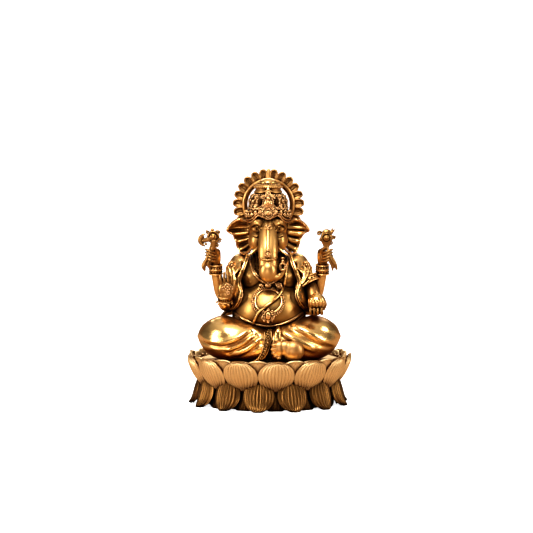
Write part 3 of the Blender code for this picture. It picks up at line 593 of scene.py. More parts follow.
sash_y = box("sash_end")[0][1] + 0.8
POLISHED = brass("polished_gold_brass", (0.95, 0.58, 0.225), (0.07, 0.016, 0.003), roughness=0.18,
                 reach=4.0, tarnish=0.3)
piece("sash_tongue", [
    sweep([(3.9, sash_y + 3.5, 34.8, 0.9), (3.9, sash_y + 1.2, 33.8, 1.0), (3.7, sash_y + 0.4, 31.4, 1.3),
           (3.6, sash_y + 0.2, 29.4, 1.5)], 40, 20, 0.6, (0, 1, 0)),
], POLISHED, "polished_brass", "sash_end")

# The foot lies sole forward under the sash, toes to the wearer's right and heel to the left.
foot_y = box("left_foot")[0][1] + 3.4
toes = np.array([(2.4, 27.6, 1.35), (1.9, 25.8, 1.15), (2.1, 24.2, 1.05), (3.0, 22.9, 1.0),
                 (4.2, 22.0, 0.95)])
foot_sheets = [
    balls([(10.4, foot_y + 0.4, 25.0)], [(4.7, 3.6, 4.7)], 40, 26),
    balls([(6.8, foot_y + 0.4, 26.2)], [(3.7, 2.9, 3.5)], 32, 20),
    balls([(4.4, foot_y - 0.1, 26.0)], [(2.9, 2.6, 3.6)], 32, 20),
] + [balls([(x, foot_y - 0.9, z)], [(r * 1.25, r * 1.2, r * 0.8)], 20, 14) for x, z, r in toes]
FOOT_BRASS = brass("foot_brass", (0.60, 0.34, 0.135), (0.03, 0.008, 0.002), roughness=0.36, reach=4.0,
                   tarnish=0.4)
piece("left_foot_skin", foot_sheets, FOOT_BRASS, "polished_brass", "left_foot", weld=0.28, ease=3)


# ---------------------------------------------------------------- Belt and necklaces
# The dhoti is tied with a belt of two rolled cords and a row of small beads between them, slung
# low under the belly. The necklaces, the pendant and the sacred thread lie on the chest.

def drape(places, count, lift, radius, loop=False):
    """Smooth run over the torso through (x, z) places, as stations of one radius."""
    line = flow(places, count, loop)
    return thick(on_torso(line[:, 0], line[:, 1], lift), radius)


belt_x = np.linspace(-15.0, 15.0, 41)
belt_z = 34.4 + 0.0245 * (belt_x + 0.3) ** 2
belt_upper = thick(on_torso(belt_x, belt_z + 0.85, 0.35), 0.5)
belt_middle = thick(on_torso(belt_x, belt_z - 0.1, 0.25), 0.42)
belt_lower = thick(on_torso(belt_x, belt_z - 0.95, 0.45), 0.42)
CHASED = brass("chased_crown_brass", (0.84, 0.48, 0.21), (0.003, 0.001, 0.0006), roughness=0.20,
               reach=3.2, tarnish=0.3)
piece("belt_cords", [
    sweep(belt_upper, 120, 10), sweep(belt_lower, 120, 10), chain(belt_middle[:, :3], 0.8, 0.4),
], CHASED, "polished_brass", "waist_belt")

# The long necklace is a loop of small ribbed beads outside a plain cord. It is closed under the
# trunk by a domed clasp, and a shell-shaped slide hangs to the wearer's left.
loop_turn = np.linspace(0, math.tau, 96, endpoint=False)
inner_loop = np.stack([-0.3 + 5.7 * np.sin(loop_turn), 45.9 + 4.9 * np.cos(loop_turn)], -1)
outer_loop = np.stack([-0.4 + 6.9 * np.sin(loop_turn), 45.5 + 6.2 * np.cos(loop_turn)], -1)
inner_run = on_torso(inner_loop[:, 0], inner_loop[:, 1], 0.35)
outer_run = on_torso(outer_loop[:, 0], outer_loop[:, 1], 0.3)
NECKLACE_BEADS = 48
tick_run = flow(outer_run, NECKLACE_BEADS, True)
middle_run = flow(outer_run * 0.45 + inner_run * 0.55, NECKLACE_BEADS, True)
clasp = on_torso(-0.4, 52.2, 1.0)
shell = on_torso(4.4, 52.0, 0.8)
necklace_sheets = [
    sweep(thick(inner_run, 0.42), 140, 8, loop=True),
    balls(tick_run, np.full(NECKLACE_BEADS, 0.4)),
    balls(tick_run * 0.55 + middle_run * 0.45, np.full(NECKLACE_BEADS, 0.38)),
    balls(middle_run, np.full(NECKLACE_BEADS, 0.34)),
    balls([clasp + (0, 0, 0.3), clasp + (0, -0.5, 1.4)], [(1.5, 1.2, 1.3), (0.6, 0.6, 0.6)], 20, 12),
    balls([clasp + (-2.6, 0.5, 0.2), clasp + (-1.4, 0.2, -1.5), clasp + (1.4, 0.2, -1.5)],
          [(1.4, 0.8, 1.0), (0.7, 0.5, 0.5), (0.7, 0.5, 0.5)], 14, 10),
    balls([shell], [(1.4, 0.8, 1.7)], 20, 14),
]
for rib in np.linspace(-0.9, 0.9, 5):
    rib_line = [shell + (0.7 * rib - 0.9, -0.35, 1.5), shell + (1.1 * rib, -0.9, 0),
                shell + (0.8 * rib + 0.8, -0.3, -1.6)]
    necklace_sheets.append(sweep(thick(rib_line, 0.24), 16, 8))
piece("long_necklace_beads", necklace_sheets, CHASED, "polished_brass", "long_necklace")

# The pendant hangs from the loop: an oval boss inside a frame of curls and small balls.
boss = on_torso(-0.4, 39.9, 0.9)


def curl(centre, radius, turns, thickness, way=1, start=0.0, tip=0.25, points=26):
    """Flat spiral wire in the plane facing front: the radius shrinks from the rim to tip."""
    t = np.linspace(0, 1, points)
    reach = radius * (1 - (1 - tip) * t)
    angle = start + way * turns * math.tau * t
    spiral = np.stack([centre[0] + reach * np.cos(angle), centre[1] - 0.4 * thickness * t,
                       centre[2] + reach * np.sin(angle)], -1)
    return sweep(thick(spiral, thickness), points * 2, 8)


def facing_ring(centre, half_width, half_height, turn):
    """Points of an upright oval that faces front, at angles measured from the figure's left."""
    return np.asarray(centre) + np.stack([half_width * np.cos(turn), 0 * turn, half_height * np.sin(turn)],
                                         -1)


pendant_turn = math.pi / 2 - np.linspace(0, math.tau, 20, endpoint=False)
piece("pendant_jewel", [
    balls([boss + (0, -0.3, 0)], [(1.15, 0.9, 1.75)], 20, 14),
    balls(boss + np.array([(-2.5, 0.5, -0.5), (2.5, 0.5, -0.5), (-1.6, 0.4, -2.1), (1.6, 0.4, -2.1),
                           (0, 0.2, -2.7), (0, 0.3, 2.6)]), [(0.62, 0.5, 0.62)] * 6, 12, 8),
    curl(boss + (-1.9, 0.3, 1.1), 1.0, 1.2, 0.26, 1, 0.5),
    curl(boss + (1.9, 0.3, 1.1), 1.0, 1.2, 0.26, -1, 2.6),
    curl(boss + (-2.2, 0.3, -0.9), 0.8, 1.1, 0.24, -1, 0.5),
    curl(boss + (2.2, 0.3, -0.9), 0.8, 1.1, 0.24, 1, 2.6),
    sweep(thick(facing_ring(boss + (0, -0.1, 0), 1.6, 2.2, pendant_turn), 0.26), 60, 8, loop=True),
], CHASED, "polished_brass", "pendant")

# Two plain strands lie round the neck under the trunk, over a string of coiled beads painted
# near-black with the shade under the trunk.
collar_places = [(-8.4, 65.2), (-8.2, 62.4), (-7.0, 58.4), (-4.6, 55.4), (-1.6, 53.6), (0.8, 53.4),
                 (3.4, 55.0), (6.0, 57.8), (7.8, 61.2), (8.4, 64.6)]
coil_places = [(-6.6, 65.0), (-6.4, 62.0), (-5.4, 59.0), (-3.6, 56.8), (-0.6, 55.6), (2.6, 56.6),
               (4.8, 59.0), (6.0, 62.0), (6.4, 65.0)]
coil = drape(coil_places, 40, 1.2, 0.5)
piece("collar_strands", [
    sweep(drape(collar_places, 30, 1.6, 0.46), 120, 10),
    sweep(drape(np.array(collar_places) + (0, 1.2), 30, 1.3, 0.26), 120, 8),
], CHASED, "polished_brass", "short_necklace")
# The coiled beads are near-black: painted shade under the trunk.
piece("coiled_beads", [chain(coil[:, :3], 1.1, 0.55),
                       chain(coil[:, :3] * (0.82, 1, 1) + (0, 0.2, 1.2), 1.1, 0.5)], SHADOW,
      "polished_brass")

# The sacred thread runs from the wearer's left shoulder across the necklace to the right hip.
thread_places = [(8.6, 65.0), (7.9, 60.6), (7.2, 56.4), (6.3, 51.8), (4.0, 48.2), (1.0, 45.8),
                 (-2.2, 43.4), (-4.4, 41.4), (-6.0, 38.6), (-6.9, 35.9)]
piece("sacred_cord", [sweep(drape(thread_places, 40, 1.25, 0.52), 160, 10)], POLISHED, "polished_brass",
      "sacred_thread")


# ---------------------------------------------------------------- Shawl
# A heavy shawl is thrown over the back and both shoulders. Its front edges are bound with a
# double cord, and on each upper arm a flower brooch gathers the cloth into converging pleats.

SHAWL_EDGE = np.array([(37.6, 84), (39.6, 78), (41.5, 69), (43.6, 62), (46.2, 54), (49.4, 49), (53.4, 52),
                       (56.4, 57), (59.6, 48), (62.4, 60), (64.4, 80)])
shawl_z = np.linspace(37.6, 64.6, 110)[:, None]
edge_angle = np.radians(np.interp(shawl_z, SHAWL_EDGE[:, 0], SHAWL_EDGE[:, 1]))
sweep_share = np.linspace(-1, 1, 160)[None, :]
shawl_angle = -np.pi / 2 + edge_angle + (sweep_share + 1) * (np.pi - edge_angle)


def shawl_surface(z, angle, lift):
    """Point of the shawl at a height and an angle round the torso, lift outside the body."""
    half_width, half_depth, middle = torso_size(z)
    shoulder = 2.4 * hump(z - 58.2, 5.0) * np.cos(angle) ** 2
    pleats = 0.32 * np.sin(angle * BACK_PLEATS) * np.clip((56 - z) / 12, 0, 1)
    pleats = pleats * np.clip(np.sin(angle), 0, 1)
    reach = lift + shoulder + pleats
    flare = 3.4 * np.clip((44.5 - z) / 6, 0, 1) ** 1.5
    return np.stack([(half_width + reach + flare) * np.cos(angle),
                     middle + (half_depth + reach) * np.sin(angle), z + 0 * angle], -1)


outer_cloth = shawl_surface(shawl_z, shawl_angle, 1.7)
inner_cloth = shawl_surface(shawl_z, shawl_angle, 0.5)
inner_cloth[[0, -1]] = outer_cloth[[0, -1]]
cloth = np.concatenate([outer_cloth, inner_cloth[:, ::-1]], 1)


def mirrored(stations):
    """The same stations on the other side of the figure."""
    return [(-x, *rest) for x, *rest in stations]


right_border = [(-9.2, -3.4, 66.0), (-10.3, -6.4, 62.6), (-11.6, -8.4, 59.0), (-12.9, -9.2, 55.6),
                (-13.2, -10.2, 52.6), (-12.3, -12.2, 49.6), (-12.8, -12.8, 46.6), (-14.6, -10.6, 43.4),
                (-17.2, -6.4, 40.9), (-19.6, -2.6, 39.9)]
border_radius = [0.45, 0.65, 0.7, 0.62, 0.5, 0.42, 0.38, 0.36, 0.34, 0.32]
border = np.array([(*p, r) for p, r in zip(right_border, border_radius)])
inner_cord = border + (0.85, -0.1, -0.1, 0)
inner_cord[:, 3] = 0.24
brooch = (-16.2, -3.6, 60.7)
bands = [
    [(-17.4, -3.4, 60.0, 0.7), (-16.9, -5.2, 57.6, 0.7), (-15.7, -7.4, 55.2, 0.5),
     (-14.1, -9.2, 52.9, 0.35)],
    [(-16.0, -4.6, 59.6, 0.7), (-15.3, -6.6, 57.2, 0.65), (-14.5, -8.1, 55.0, 0.45),
     (-13.7, -9.4, 53.0, 0.35)],
    [(-18.2, -1.6, 59.4, 0.7), (-18.2, -3.6, 56.6, 0.65), (-16.9, -6.2, 54.0, 0.5),
     (-14.4, -8.8, 51.9, 0.35)],
]
shawl_sheets = [(cloth, False, True)]
trim_sheets = []
for mirror in (1, -1):
    flip = np.array([mirror, 1, 1, 1])
    spot = np.array(brooch) * flip[:3]
    shawl_sheets += [
        balls([np.array((-11.8, 1.8, 58.6)) * flip[:3]], [(6.0, 6.8, 6.9)], 40, 26),
        balls([np.array((-14.6, 0.6, 57.0)) * flip[:3]], [(4.4, 6.6, 5.8)], 40, 26),
        sweep(border * flip, 110, 14),
        balls([spot], [(1.8, 1.4, 1.8)], 20, 14),
    ] + [sweep(np.array(band) * flip, 40, 10) for band in bands]
    petals = np.linspace(0, math.tau, 6, endpoint=False)
    flower = spot + np.stack([0.95 * np.cos(petals), -1.25 + 0.3 * np.cos(petals) * mirror,
                              0.95 * np.sin(petals)], -1)
    trim_sheets += [
        sweep(inner_cord * flip, 110, 10), balls(flower, [(0.5, 0.45, 0.5)] * 6, 12, 8),
        balls([spot + (0, -1.7, 0)], [(0.6, 0.5, 0.6)], 12, 8),
    ]
piece("shawl_cloth", shawl_sheets, POLISHED, "polished_brass", "shawl", weld=0.26, ease=4)
piece("shawl_trim", trim_sheets, CHASED, "polished_brass")


# ---------------------------------------------------------------- Head
# The elephant head is one heavy, softly boxed casting. Two forehead domes run down into the
# trunk between raised brow lines; the eyes are small and half closed over round cheeks.

HEAD_X = -0.45
skull = [
    ((0, -1.2, 76.4), (8.2, 8.0, 9.0)), ((0, -1.0, 72.6), (8.3, 7.2, 6.6)),
    ((-4.9, -3.6, 71.2), (3.7, 5.6, 4.7)), ((4.9, -3.6, 71.2), (3.7, 5.6, 4.7)),
    ((-3.9, -4.2, 79.4), (4.0, 5.2, 3.9)), ((3.9, -4.2, 79.4), (4.0, 5.2, 3.9)),
    ((0, -4.0, 77.0), (3.2, 6.6, 5.6)),
]
skull_centres = np.array([centre for centre, radii in skull]) + (HEAD_X, 0, 0)
skull_radii = np.array([radii for centre, radii in skull])


def on_face(x, z, lift=0.0):
    """Frontmost point of the head's rounded masses at x and z, raised by lift."""
    x, z = np.asarray(x, float) + HEAD_X, np.asarray(z, float)
    across = (x[..., None] - skull_centres[:, 0]) / skull_radii[:, 0]
    upward = (z[..., None] - skull_centres[:, 2]) / skull_radii[:, 2]
    flat = 1 - across**2 - upward**2
    front = skull_centres[:, 1] - skull_radii[:, 1] * np.sqrt(np.clip(flat, 0, 1))
    front = np.where(flat > 0, front, 4.0)
    return np.stack([x, front.min(-1) - lift, z], -1)


def face_cord(line, mirror, lift, radius, count=40, columns=8, loop=False):
    """Cord on one side of the face along a line of (x, z) places, raised by lift."""
    return sweep(thick(on_face(mirror * line[:, 0], line[:, 1], lift), radius), count, columns, loop=loop)


trunk_stations = [
    (-0.45, -6.0, 79.6, 2.2), (-0.45, -7.8, 76.6, 3.3), (-0.45, -9.7, 73.8, 3.95),
    (-0.45, -11.7, 71.0, 4.15), (-0.5, -13.9, 67.4, 4.1), (-0.45, -15.4, 63.6, 3.8),
    (-0.35, -16.2, 60.0, 3.75), (-0.2, -16.5, 57.6, 3.3),
]
eye_z = 76.4
brow_line = flow([(3.0, 73.4), (2.9, 76.0), (3.6, 78.2), (5.2, 79.0), (6.8, 78.3), (7.6, 76.9)],
                 24)
upper_lid = flow([(3.5, eye_z - 0.5), (4.2, eye_z + 0.7), (5.4, eye_z + 0.95), (6.9, eye_z + 0.1)], 16)
lower_lid = flow([(3.4, eye_z - 0.6), (4.5, eye_z - 1.15), (5.8, eye_z - 0.95), (6.9, eye_z + 0.05)], 16)
bag = flow([(3.3, eye_z - 2.0), (4.8, eye_z - 2.9), (6.4, eye_z - 2.5)], 14)
head_sheets = [balls(skull_centres, skull_radii, 60, 40), sweep(trunk_stations, 90, 40, 0.6, (0, 1, 0))]
# The trunk has a flat ridge down its front, a collar, and a fuller tip below that.
ridge = [(-0.45, -10.0, 77.0, 0.8), (-0.45, -11.9, 74.0, 1.0), (-0.45, -14.0, 70.6, 1.1),
         (-0.5, -16.0, 67.2, 1.2)]
collar = [(-4.5, -14.6, 64.7, 0.34), (-3.4, -16.9, 64.3, 0.34), (-0.5, -18.15, 63.9, 0.42),
          (2.5, -16.9, 64.3, 0.34), (3.6, -14.6, 64.7, 0.34)]
head_sheets += [
    sweep(ridge, 40, 16, 0.9, (0, 1, 0)), sweep(collar, 40, 10),
    balls([(-0.4, -16.3, 58.8), (-0.3, -16.2, 57.4)], [(3.9, 3.2, 4.6), (3.4, 3.0, 3.2)], 40, 26),
    sweep([(1.6, -16.6, 56.6, 1.7), (3.9, -15.7, 56.6, 1.35), (5.5, -15.4, 58.0, 1.1),
           (6.0, -15.6, 59.4, 0.9)], 40, 16,
          1, (0, 1, 0)),
    balls([(-0.5, -17.2, 66.3)], [(1.4, 0.9, 1.4)], 20, 14),
]
for mirror in (1, -1):
    head_sheets += [
        face_cord(brow_line, mirror, 0.0, 0.42, 60, 10),
        balls([on_face(mirror * 5.15, eye_z, -0.05)], [(1.75, 1.0, 1.1)], 24, 16),
        face_cord(upper_lid + (0, 0.15), mirror, 0.3, 0.38),
        face_cord(lower_lid - (0, 0.15), mirror, 0.25, 0.32),
        face_cord(bag, mirror, 0.0, 0.32),
        sweep([(HEAD_X + mirror * 2.8, -9.8, 75.4, 0.35), (HEAD_X + mirror * 3.6, -11.4, 71.8, 0.4),
               (HEAD_X + mirror * 3.9, -13.6, 67.8, 0.4), (HEAD_X + mirror * 3.8, -14.8, 65.2, 0.35)], 40,
               10),
    ]
HEAD_BRASS = brass("head_brass", (0.68, 0.39, 0.14), (0.02, 0.005, 0.001), roughness=0.31, reach=3.6,
                   tarnish=0.4)
piece("head_casting", head_sheets, HEAD_BRASS, "polished_brass", "head", "trunk", weld=0.2, ease=2)

# Small things soldered to the face: a trefoil mark on the brow, the flower on the trunk, pupils
# painted near-black as the shade of holes drilled into the eyes, and the ring at the trunk's curled tip.
trefoil = on_face(np.array([0, -0.75, 0.75, 0]), np.array([76.9, 78.1, 78.1, 77.7]), 0.55)
boss_turn = np.linspace(0, math.tau, 7, endpoint=False)
flower_boss = facing_ring((-0.5, -18.2, 66.2), 0.85, 0.85, boss_turn)
ring_turn = np.linspace(0, math.tau, 20, endpoint=False)
tip_ring = np.stack([5.9 + 1.25 * np.cos(ring_turn), -16.4 + 0.3 * np.sin(ring_turn),
                     60.9 + 1.45 * np.sin(ring_turn)], -1)
face_sheets = [
    balls(trefoil, [(0.62, 0.45, 0.62)] * 4, 12, 8), balls(flower_boss, [(0.5, 0.5, 0.5)] * 7, 12, 8),
    balls([(-0.5, -18.4, 66.2)], [(0.6, 0.5, 0.6)], 14, 10),
    balls([(-0.5, -17.6, 68.0)], [(0.8, 0.5, 0.6)], 14, 10),
    sweep(thick(tip_ring, 0.5), 60, 12, loop=True), balls([(5.9, -16.2, 63.2)], [(0.7, 0.6, 0.9)], 12, 8),
    balls([(5.9, -15.9, 64.6)], [(0.9, 0.6, 0.5)], 12, 8),
]
piece("face_details", face_sheets, CHASED, "polished_brass")
pupils = on_face(np.array([-5.0, 5.0]), np.array([eye_z, eye_z]), 0.88)
rim_turn = np.linspace(0, math.tau, 16, endpoint=False)
eye_rim = np.stack([5.15 + 1.95 * np.cos(rim_turn),
                    eye_z + 1.15 * np.sin(rim_turn) + 0.25 * np.cos(rim_turn)], -1)
cheek_fold = flow([(3.9, 72.6), (3.6, 70.4), (4.2, 68.4), (5.6, 67.4)], 14)
# Thin near-black cords are painted shade in the face's creases: round the eyes, under the bags and brows, and
# along the cheek folds.
crease_shade_lines = []
for mirror in (1, -1):
    crease_shade_lines += [
        face_cord(eye_rim, mirror, 0.52, 0.2, 60, loop=True),
        face_cord(bag - (0, 0.45), mirror, 0.12, 0.2),
        face_cord(brow_line - (0.1, 0.62), mirror, 0.1, 0.18, 60),
        face_cord(cheek_fold, mirror, 0.0, 0.2),
    ]
piece("face_crease_shade_lines", crease_shade_lines, SHADOW, "polished_brass")
# The pupils are small balls painted near-black with the shade inside drilled holes.
piece("pupils", [balls(pupils, [(0.3, 0.25, 0.3)] * 2, 12, 8)], SHADOW, "polished_brass")

for name, mirror in (("right_tusk", -1), ("left_tusk", 1)):
    x = HEAD_X + mirror * 3.6
    tusk = [(x, -10.6, 69.0, 0.75), (x + mirror * 1.6, -12.4, 67.9, 0.78),
            (x + mirror * 3.4, -13.6, 66.6, 0.62),
            (x + mirror * 4.6, -14.2, 65.8, 0.36)]
    piece(name + "_ivory", [sweep(tusk, 40, 16)], POLISHED, "polished_brass", name)


# ---------------------------------------------------------------- Ears
# The ears are folded like fans: a rolled, beaded rim over the top, pleats that open from the
# cheek, a sharp outer tip and a narrow strip that curls back under the jaw.

EAR_ROOT = [(8.3, 78.8), (8.2, 78.2), (8.1, 77.8), (8.1, 76.4), (8.2, 74.6), (8.3, 72.6), (8.3, 70.8),
            (8.2, 69.2), (7.6, 68.0)]
EAR_EDGE = [(9.2, 79.4), (12.0, 80.2), (15.0, 79.0), (17.6, 75.7), (15.4, 73.8), (14.1, 71.4),
            (13.4, 69.0), (12.2, 66.5), (9.6, 65.8)]
ear_root, ear_edge = flow(EAR_ROOT, 150), flow(EAR_EDGE, 150)
fan_turn = np.linspace(0, 1, 150)[:, None]
reach_out = np.linspace(0, 1, 46)[None, :]


def ear_sheet(mirror):
    """One ear as a grid from the root to the edge, its pleats a wave whose crests are sharpened."""
    flat = ear_root[:, None] + (ear_edge - ear_root)[:, None] * reach_out[..., None]
    wave = np.cos(math.tau * (fan_turn * 5.6 - 0.35))
    pleat = np.where(fan_turn > 0.34, np.sign(wave) * np.abs(wave) ** 0.8, 0.35 * wave)
    hollow = 1.9 * hump(fan_turn - 0.22, 0.16) * np.sin(np.pi * reach_out**0.8)
    leaf = -0.9 * hump(fan_turn - 0.2, 0.05) * hump(reach_out - 0.45, 0.3)
    fold = pleat * (0.35 + 0.65 * np.sin(np.pi * reach_out))
    depth = 1.1 + 1.6 * reach_out - 2.0 * reach_out**4 + fold + hollow + leaf
    return np.stack([HEAD_X + mirror * flat[..., 0], depth + 0 * flat[..., 0], flat[..., 1]], -1)


EAR_BRASS = brass("ear_brass", (0.82, 0.48, 0.175), (0.04, 0.01, 0.002), roughness=0.25, reach=2.1,
                  tarnish=0.3)
for name, mirror in (("right_ear", -1), ("left_ear", 1)):
    sheet = ear_sheet(mirror)
    edge = sheet[:, -1]
    rim = thick(edge[:66:5] + (0, -0.3, 0), 0.62)
    rim[:, 3] *= np.linspace(0.7, 1, len(rim))
    rim[-1, 3] = 0.3
    bead_line = sheet[4:62, -5] + (0, -0.45, 0)
    strip = [(HEAD_X + mirror * x, y, z, r) for x, y, z, r in (
        (13.0, -0.2, 67.6, 0.3), (12.0, -1.0, 66.0, 0.5), (10.2, -2.6, 65.5, 0.62),
        (8.4, -4.4, 66.6, 0.6), (7.0, -5.8, 68.4, 0.5), (6.3, -6.2, 70.0, 0.3))]
    piece(name + "_fan", [(sheet, False, False)], EAR_BRASS, "polished_brass", name, wall=0.7,
          outward=False)
    lower_edge = sweep(thick(edge[66:140:6] + (0, -0.15, 0), 0.3), 60, 8)
    piece(name + "_rim", [sweep(rim, 90, 12), sweep(strip, 50, 12), chain(bead_line, 0.62, 0.26), lower_edge],
          CHASED, "polished_brass")


# ---------------------------------------------------------------- Crown
# The crown is built up in tiers. The lower band flares and dips in an M over the brow; above it
# a dome, a stepped tier and a round finial are crowded with cast scrolls and tiny beads.

CROWN_X, CROWN_Y = -0.4, -1.8
BAND_TURN = np.linspace(0, math.tau, 220, endpoint=False)


def band_edge(angle):
    """Height of the crown's lower edge: an M over the brow, level round the back."""
    x = np.cos(angle) * 9.4
    front = np.clip(-np.sin(angle) * 2.5, 0, 1)
    return 79.4 + front * (3.1 * hump(np.abs(x) - 4.2, 2.3) + 2.6 * hump(x, 2.2))


def round_crown(radius, turn, height):
    """Points at a radius, an angle and a height round the crown's axis."""
    x, y = CROWN_X + radius * np.cos(turn), CROWN_Y + radius * np.sin(turn)
    return np.stack(np.broadcast_arrays(x, y, height), -1)


def crown_ring(profile, columns=120):
    """Turned shape round the crown's axis from (height, radius) rows."""
    rows = np.asarray(profile, float)
    turn = np.linspace(0, math.tau, columns, endpoint=False)[None, :]
    return round_crown(rows[:, 1:2], turn, rows[:, :1])


def bead_ring(height, radius, count, size):
    """Ring of small balls round the crown's axis."""
    return balls(crown_ring([(height, radius)], count)[0], np.full(count, size))


def ornament(sheets, height, radius, turn, tilt=0.0):
    """Flat ornament wrapped round the crown: across becomes angle, forward becomes radius.

    tilt is how much the radius shrinks per unit of height.
    """
    wrapped = []
    for points, rows_close, columns_close in sheets:
        angle = turn + points[..., 0] / radius
        reach = radius - points[..., 1] - tilt * points[..., 2]
        wrapped.append((round_crown(reach, angle, height + points[..., 2]), rows_close, columns_close))
    return wrapped


# The ground under the scrolls is painted dark: shade in the crown's recesses, together with their patina; the
# scrolls on it stay bright.
CROWN_GROUND = brass("crown_ground_brass", (0.15, 0.07, 0.025), (0.006, 0.002, 0.001), roughness=0.33,
                     reach=1.6, tarnish=0.3)
CROWN_SCROLLS = brass("crown_scroll_brass", (0.97, 0.59, 0.275), (0.03, 0.008, 0.002), roughness=0.20,
                      reach=0.8, tarnish=0.3)
front = -math.pi / 2
share = np.linspace(0, 1, 26)[:, None]
low_edge = band_edge(BAND_TURN)[None, :]
band_z = low_edge + (85.0 - low_edge) * share
flutes = 0.10 * np.sin(BAND_TURN * 24) * np.sin(math.tau * 2.5 * share)
band_r = 9.0 + 0.75 * np.sin(np.pi * share**0.8) - 0.5 * share + flutes
band_loop = np.concatenate([band_r, (band_r - 1.6)[::-1]])
band_skin = round_crown(band_loop, BAND_TURN, np.concatenate([band_z, band_z[::-1]]))
band_sheets = []
for radius, rise, thickness in ((9.15, 0.0, 0.36), (9.55, 0.95, 0.3)):
    rim_line = round_crown(radius, BAND_TURN, band_edge(BAND_TURN) + rise)[::4]
    band_sheets.append(sweep(thick(rim_line, thickness), 220, 8, loop=True))
BAND_SCROLLS = 26
for k in range(BAND_SCROLLS):
    turn = front + (k + 0.5) * math.tau / BAND_SCROLLS
    way = 1 if math.cos(turn) > 0 else -1
    lift = float(band_edge(turn)) - 79.0
    band_sheets += ornament([
        curl((0, -0.1, 0), 0.85, 1.6, 0.24, way, 1.2, 0.2),
        curl((way * 0.7, 0, 1.6), 0.6, 1.3, 0.22, -way, 3.0, 0.2),
        balls([(-way * 0.7, -0.2, 1.5), (way * 1.1, -0.2, -0.8), (0, -0.2, 0)], 0.34, 8, 6),
    ], 82.2 + 0.55 * lift, 9.75, turn)
piece("crown_band_ground", [(band_skin, True, True)], CROWN_GROUND, "satin_brass")
piece("crown_band_scrolls", band_sheets, CROWN_SCROLLS, "satin_brass", "crown_band")

dome_profile = [(85.1, 6.5), (85.1, 8.3), (85.5, 8.55), (86.2, 8.3), (87.2, 8.35), (88.6, 8.35),
                (90.0, 7.8), (91.1, 6.9), (91.5, 6.3), (91.5, 3.0)]
piece("crown_dome_ground", [(closed(crown_ring(dome_profile)), False, True)], CROWN_GROUND, "satin_brass")
dome_sheets = []
for row, (height, radius, count, size) in enumerate(((86.6, 8.35, 18, 0.95), (88.5, 8.3, 17, 0.9),
                                                     (90.2, 7.6, 16, 0.8))):
    for k in range(count):
        turn = front + (k + 0.5 * (row % 2)) * math.tau / count
        way = 1 if (k + row) % 2 else -1
        if abs((turn - front + math.pi) % math.tau - math.pi) * radius < 1.5:
            continue
        dome_sheets += ornament([
            curl((0, 0, 0), size, 1.5, 0.25, way, 0.7 * k, 0.2),
            balls([(size + 0.15, -0.05, 0.6)], 0.3, 8, 6),
        ], height, radius, turn, 0.18)
dome_sheets += [bead_ring(85.4, 8.6, 60, 0.36), bead_ring(91.3, 6.6, 44, 0.34)]
piece("crown_dome_scrolls", dome_sheets, CROWN_SCROLLS, "satin_brass", "crown_dome")

tier_profile = [(91.8, 3.0), (91.8, 6.0), (92.2, 6.2), (92.8, 6.0), (93.2, 5.5), (93.8, 5.5), (94.2, 5.9),
                (94.9, 6.0), (95.4, 5.4), (95.7, 4.8), (95.7, 2.0)]
tier_sheets = [(closed(crown_ring(tier_profile)), False, True), bead_ring(94.5, 6.1, 40, 0.42),
               bead_ring(95.5, 5.1, 34, 0.38)]
tier_sheets += ornament([sweep([(-2.4, 0, 0.2, 0.25), (-1.0, -0.5, 0.6, 0.42), (0, -0.8, 1.0, 0.5),
                                (1.0, -0.5, 0.6, 0.42), (2.4, 0, 0.2, 0.25)], 40, 8)], 92.3, 6.0, front)
RUBBED = brass("rubbed_gold_brass", (0.72, 0.41, 0.155), (0.05, 0.012, 0.002), roughness=0.30, reach=3.0,
               tarnish=0.35)
piece("crown_tier_beads", tier_sheets, RUBBED, "satin_brass", "crown_tier")

finial_profile = [(96.0, 2.0), (96.0, 3.9), (96.3, 4.1), (96.8, 3.9), (97.3, 3.4), (97.9, 2.6),
                  (98.3, 1.3), (98.4, 0.4)]
piece("crown_finial_dome", [(closed(crown_ring(finial_profile)), False, True),
                            bead_ring(96.2, 4.1, 32, 0.32)],
      POLISHED, "satin_brass", "crown_finial")

# On the front of the crown stands a leaf-shaped crest: a plain round boss between two hollows,
# shown as balls painted near-black with their shade, a beaded shield below it and a pointed leaf above.
CROWN_CREST = brass("crown_crest_brass", (0.90, 0.53, 0.24), (0.004, 0.001, 0.001), roughness=0.20,
                    reach=1.5, tarnish=0.3)
crest_y = box("crown_crest")[0][1] + 1.6
frame_turn = math.pi / 2 - np.linspace(0, math.tau, 24, endpoint=False)
shield_turn = math.pi / 2 - np.linspace(0, math.tau, 14, endpoint=False)
crest_sheets = [
    balls([(-0.4, crest_y + 1.2, 83.6)], [(2.7, 1.3, 2.7)], 32, 20),
    balls([(-0.4, crest_y + 0.9, 87.6)], [(2.0, 1.3, 2.3)], 32, 20),
    balls([(-0.4, crest_y + 0.1, 88.0)], [(0.95, 0.9, 1.2)], 24, 16),
    balls([(-0.4, crest_y + 0.3, 90.0)], [(1.0, 0.9, 0.8)], 24, 16),
    sweep([(-0.4, crest_y + 2.6, 90.6, 1.4), (-0.4, crest_y + 3.0, 92.2, 1.2),
           (-0.4, crest_y + 3.4, 93.9, 0.7),
           (-0.4, crest_y + 3.8, 95.2, 0.25)], 40, 16, 0.5, (0, 1, 0)),
    sweep(thick(facing_ring((-0.4, crest_y + 0.2, 83.7), 2.5, 2.6, frame_turn), 0.32), 80, 8, loop=True),
    balls(facing_ring((-0.4, crest_y - 0.1, 83.7), 1.75, 1.85, shield_turn), np.full(14, 0.36), 8, 6),
    balls([(-0.4, crest_y - 0.2, 83.7)], [(1.0, 0.6, 1.1)], 20, 14),
]
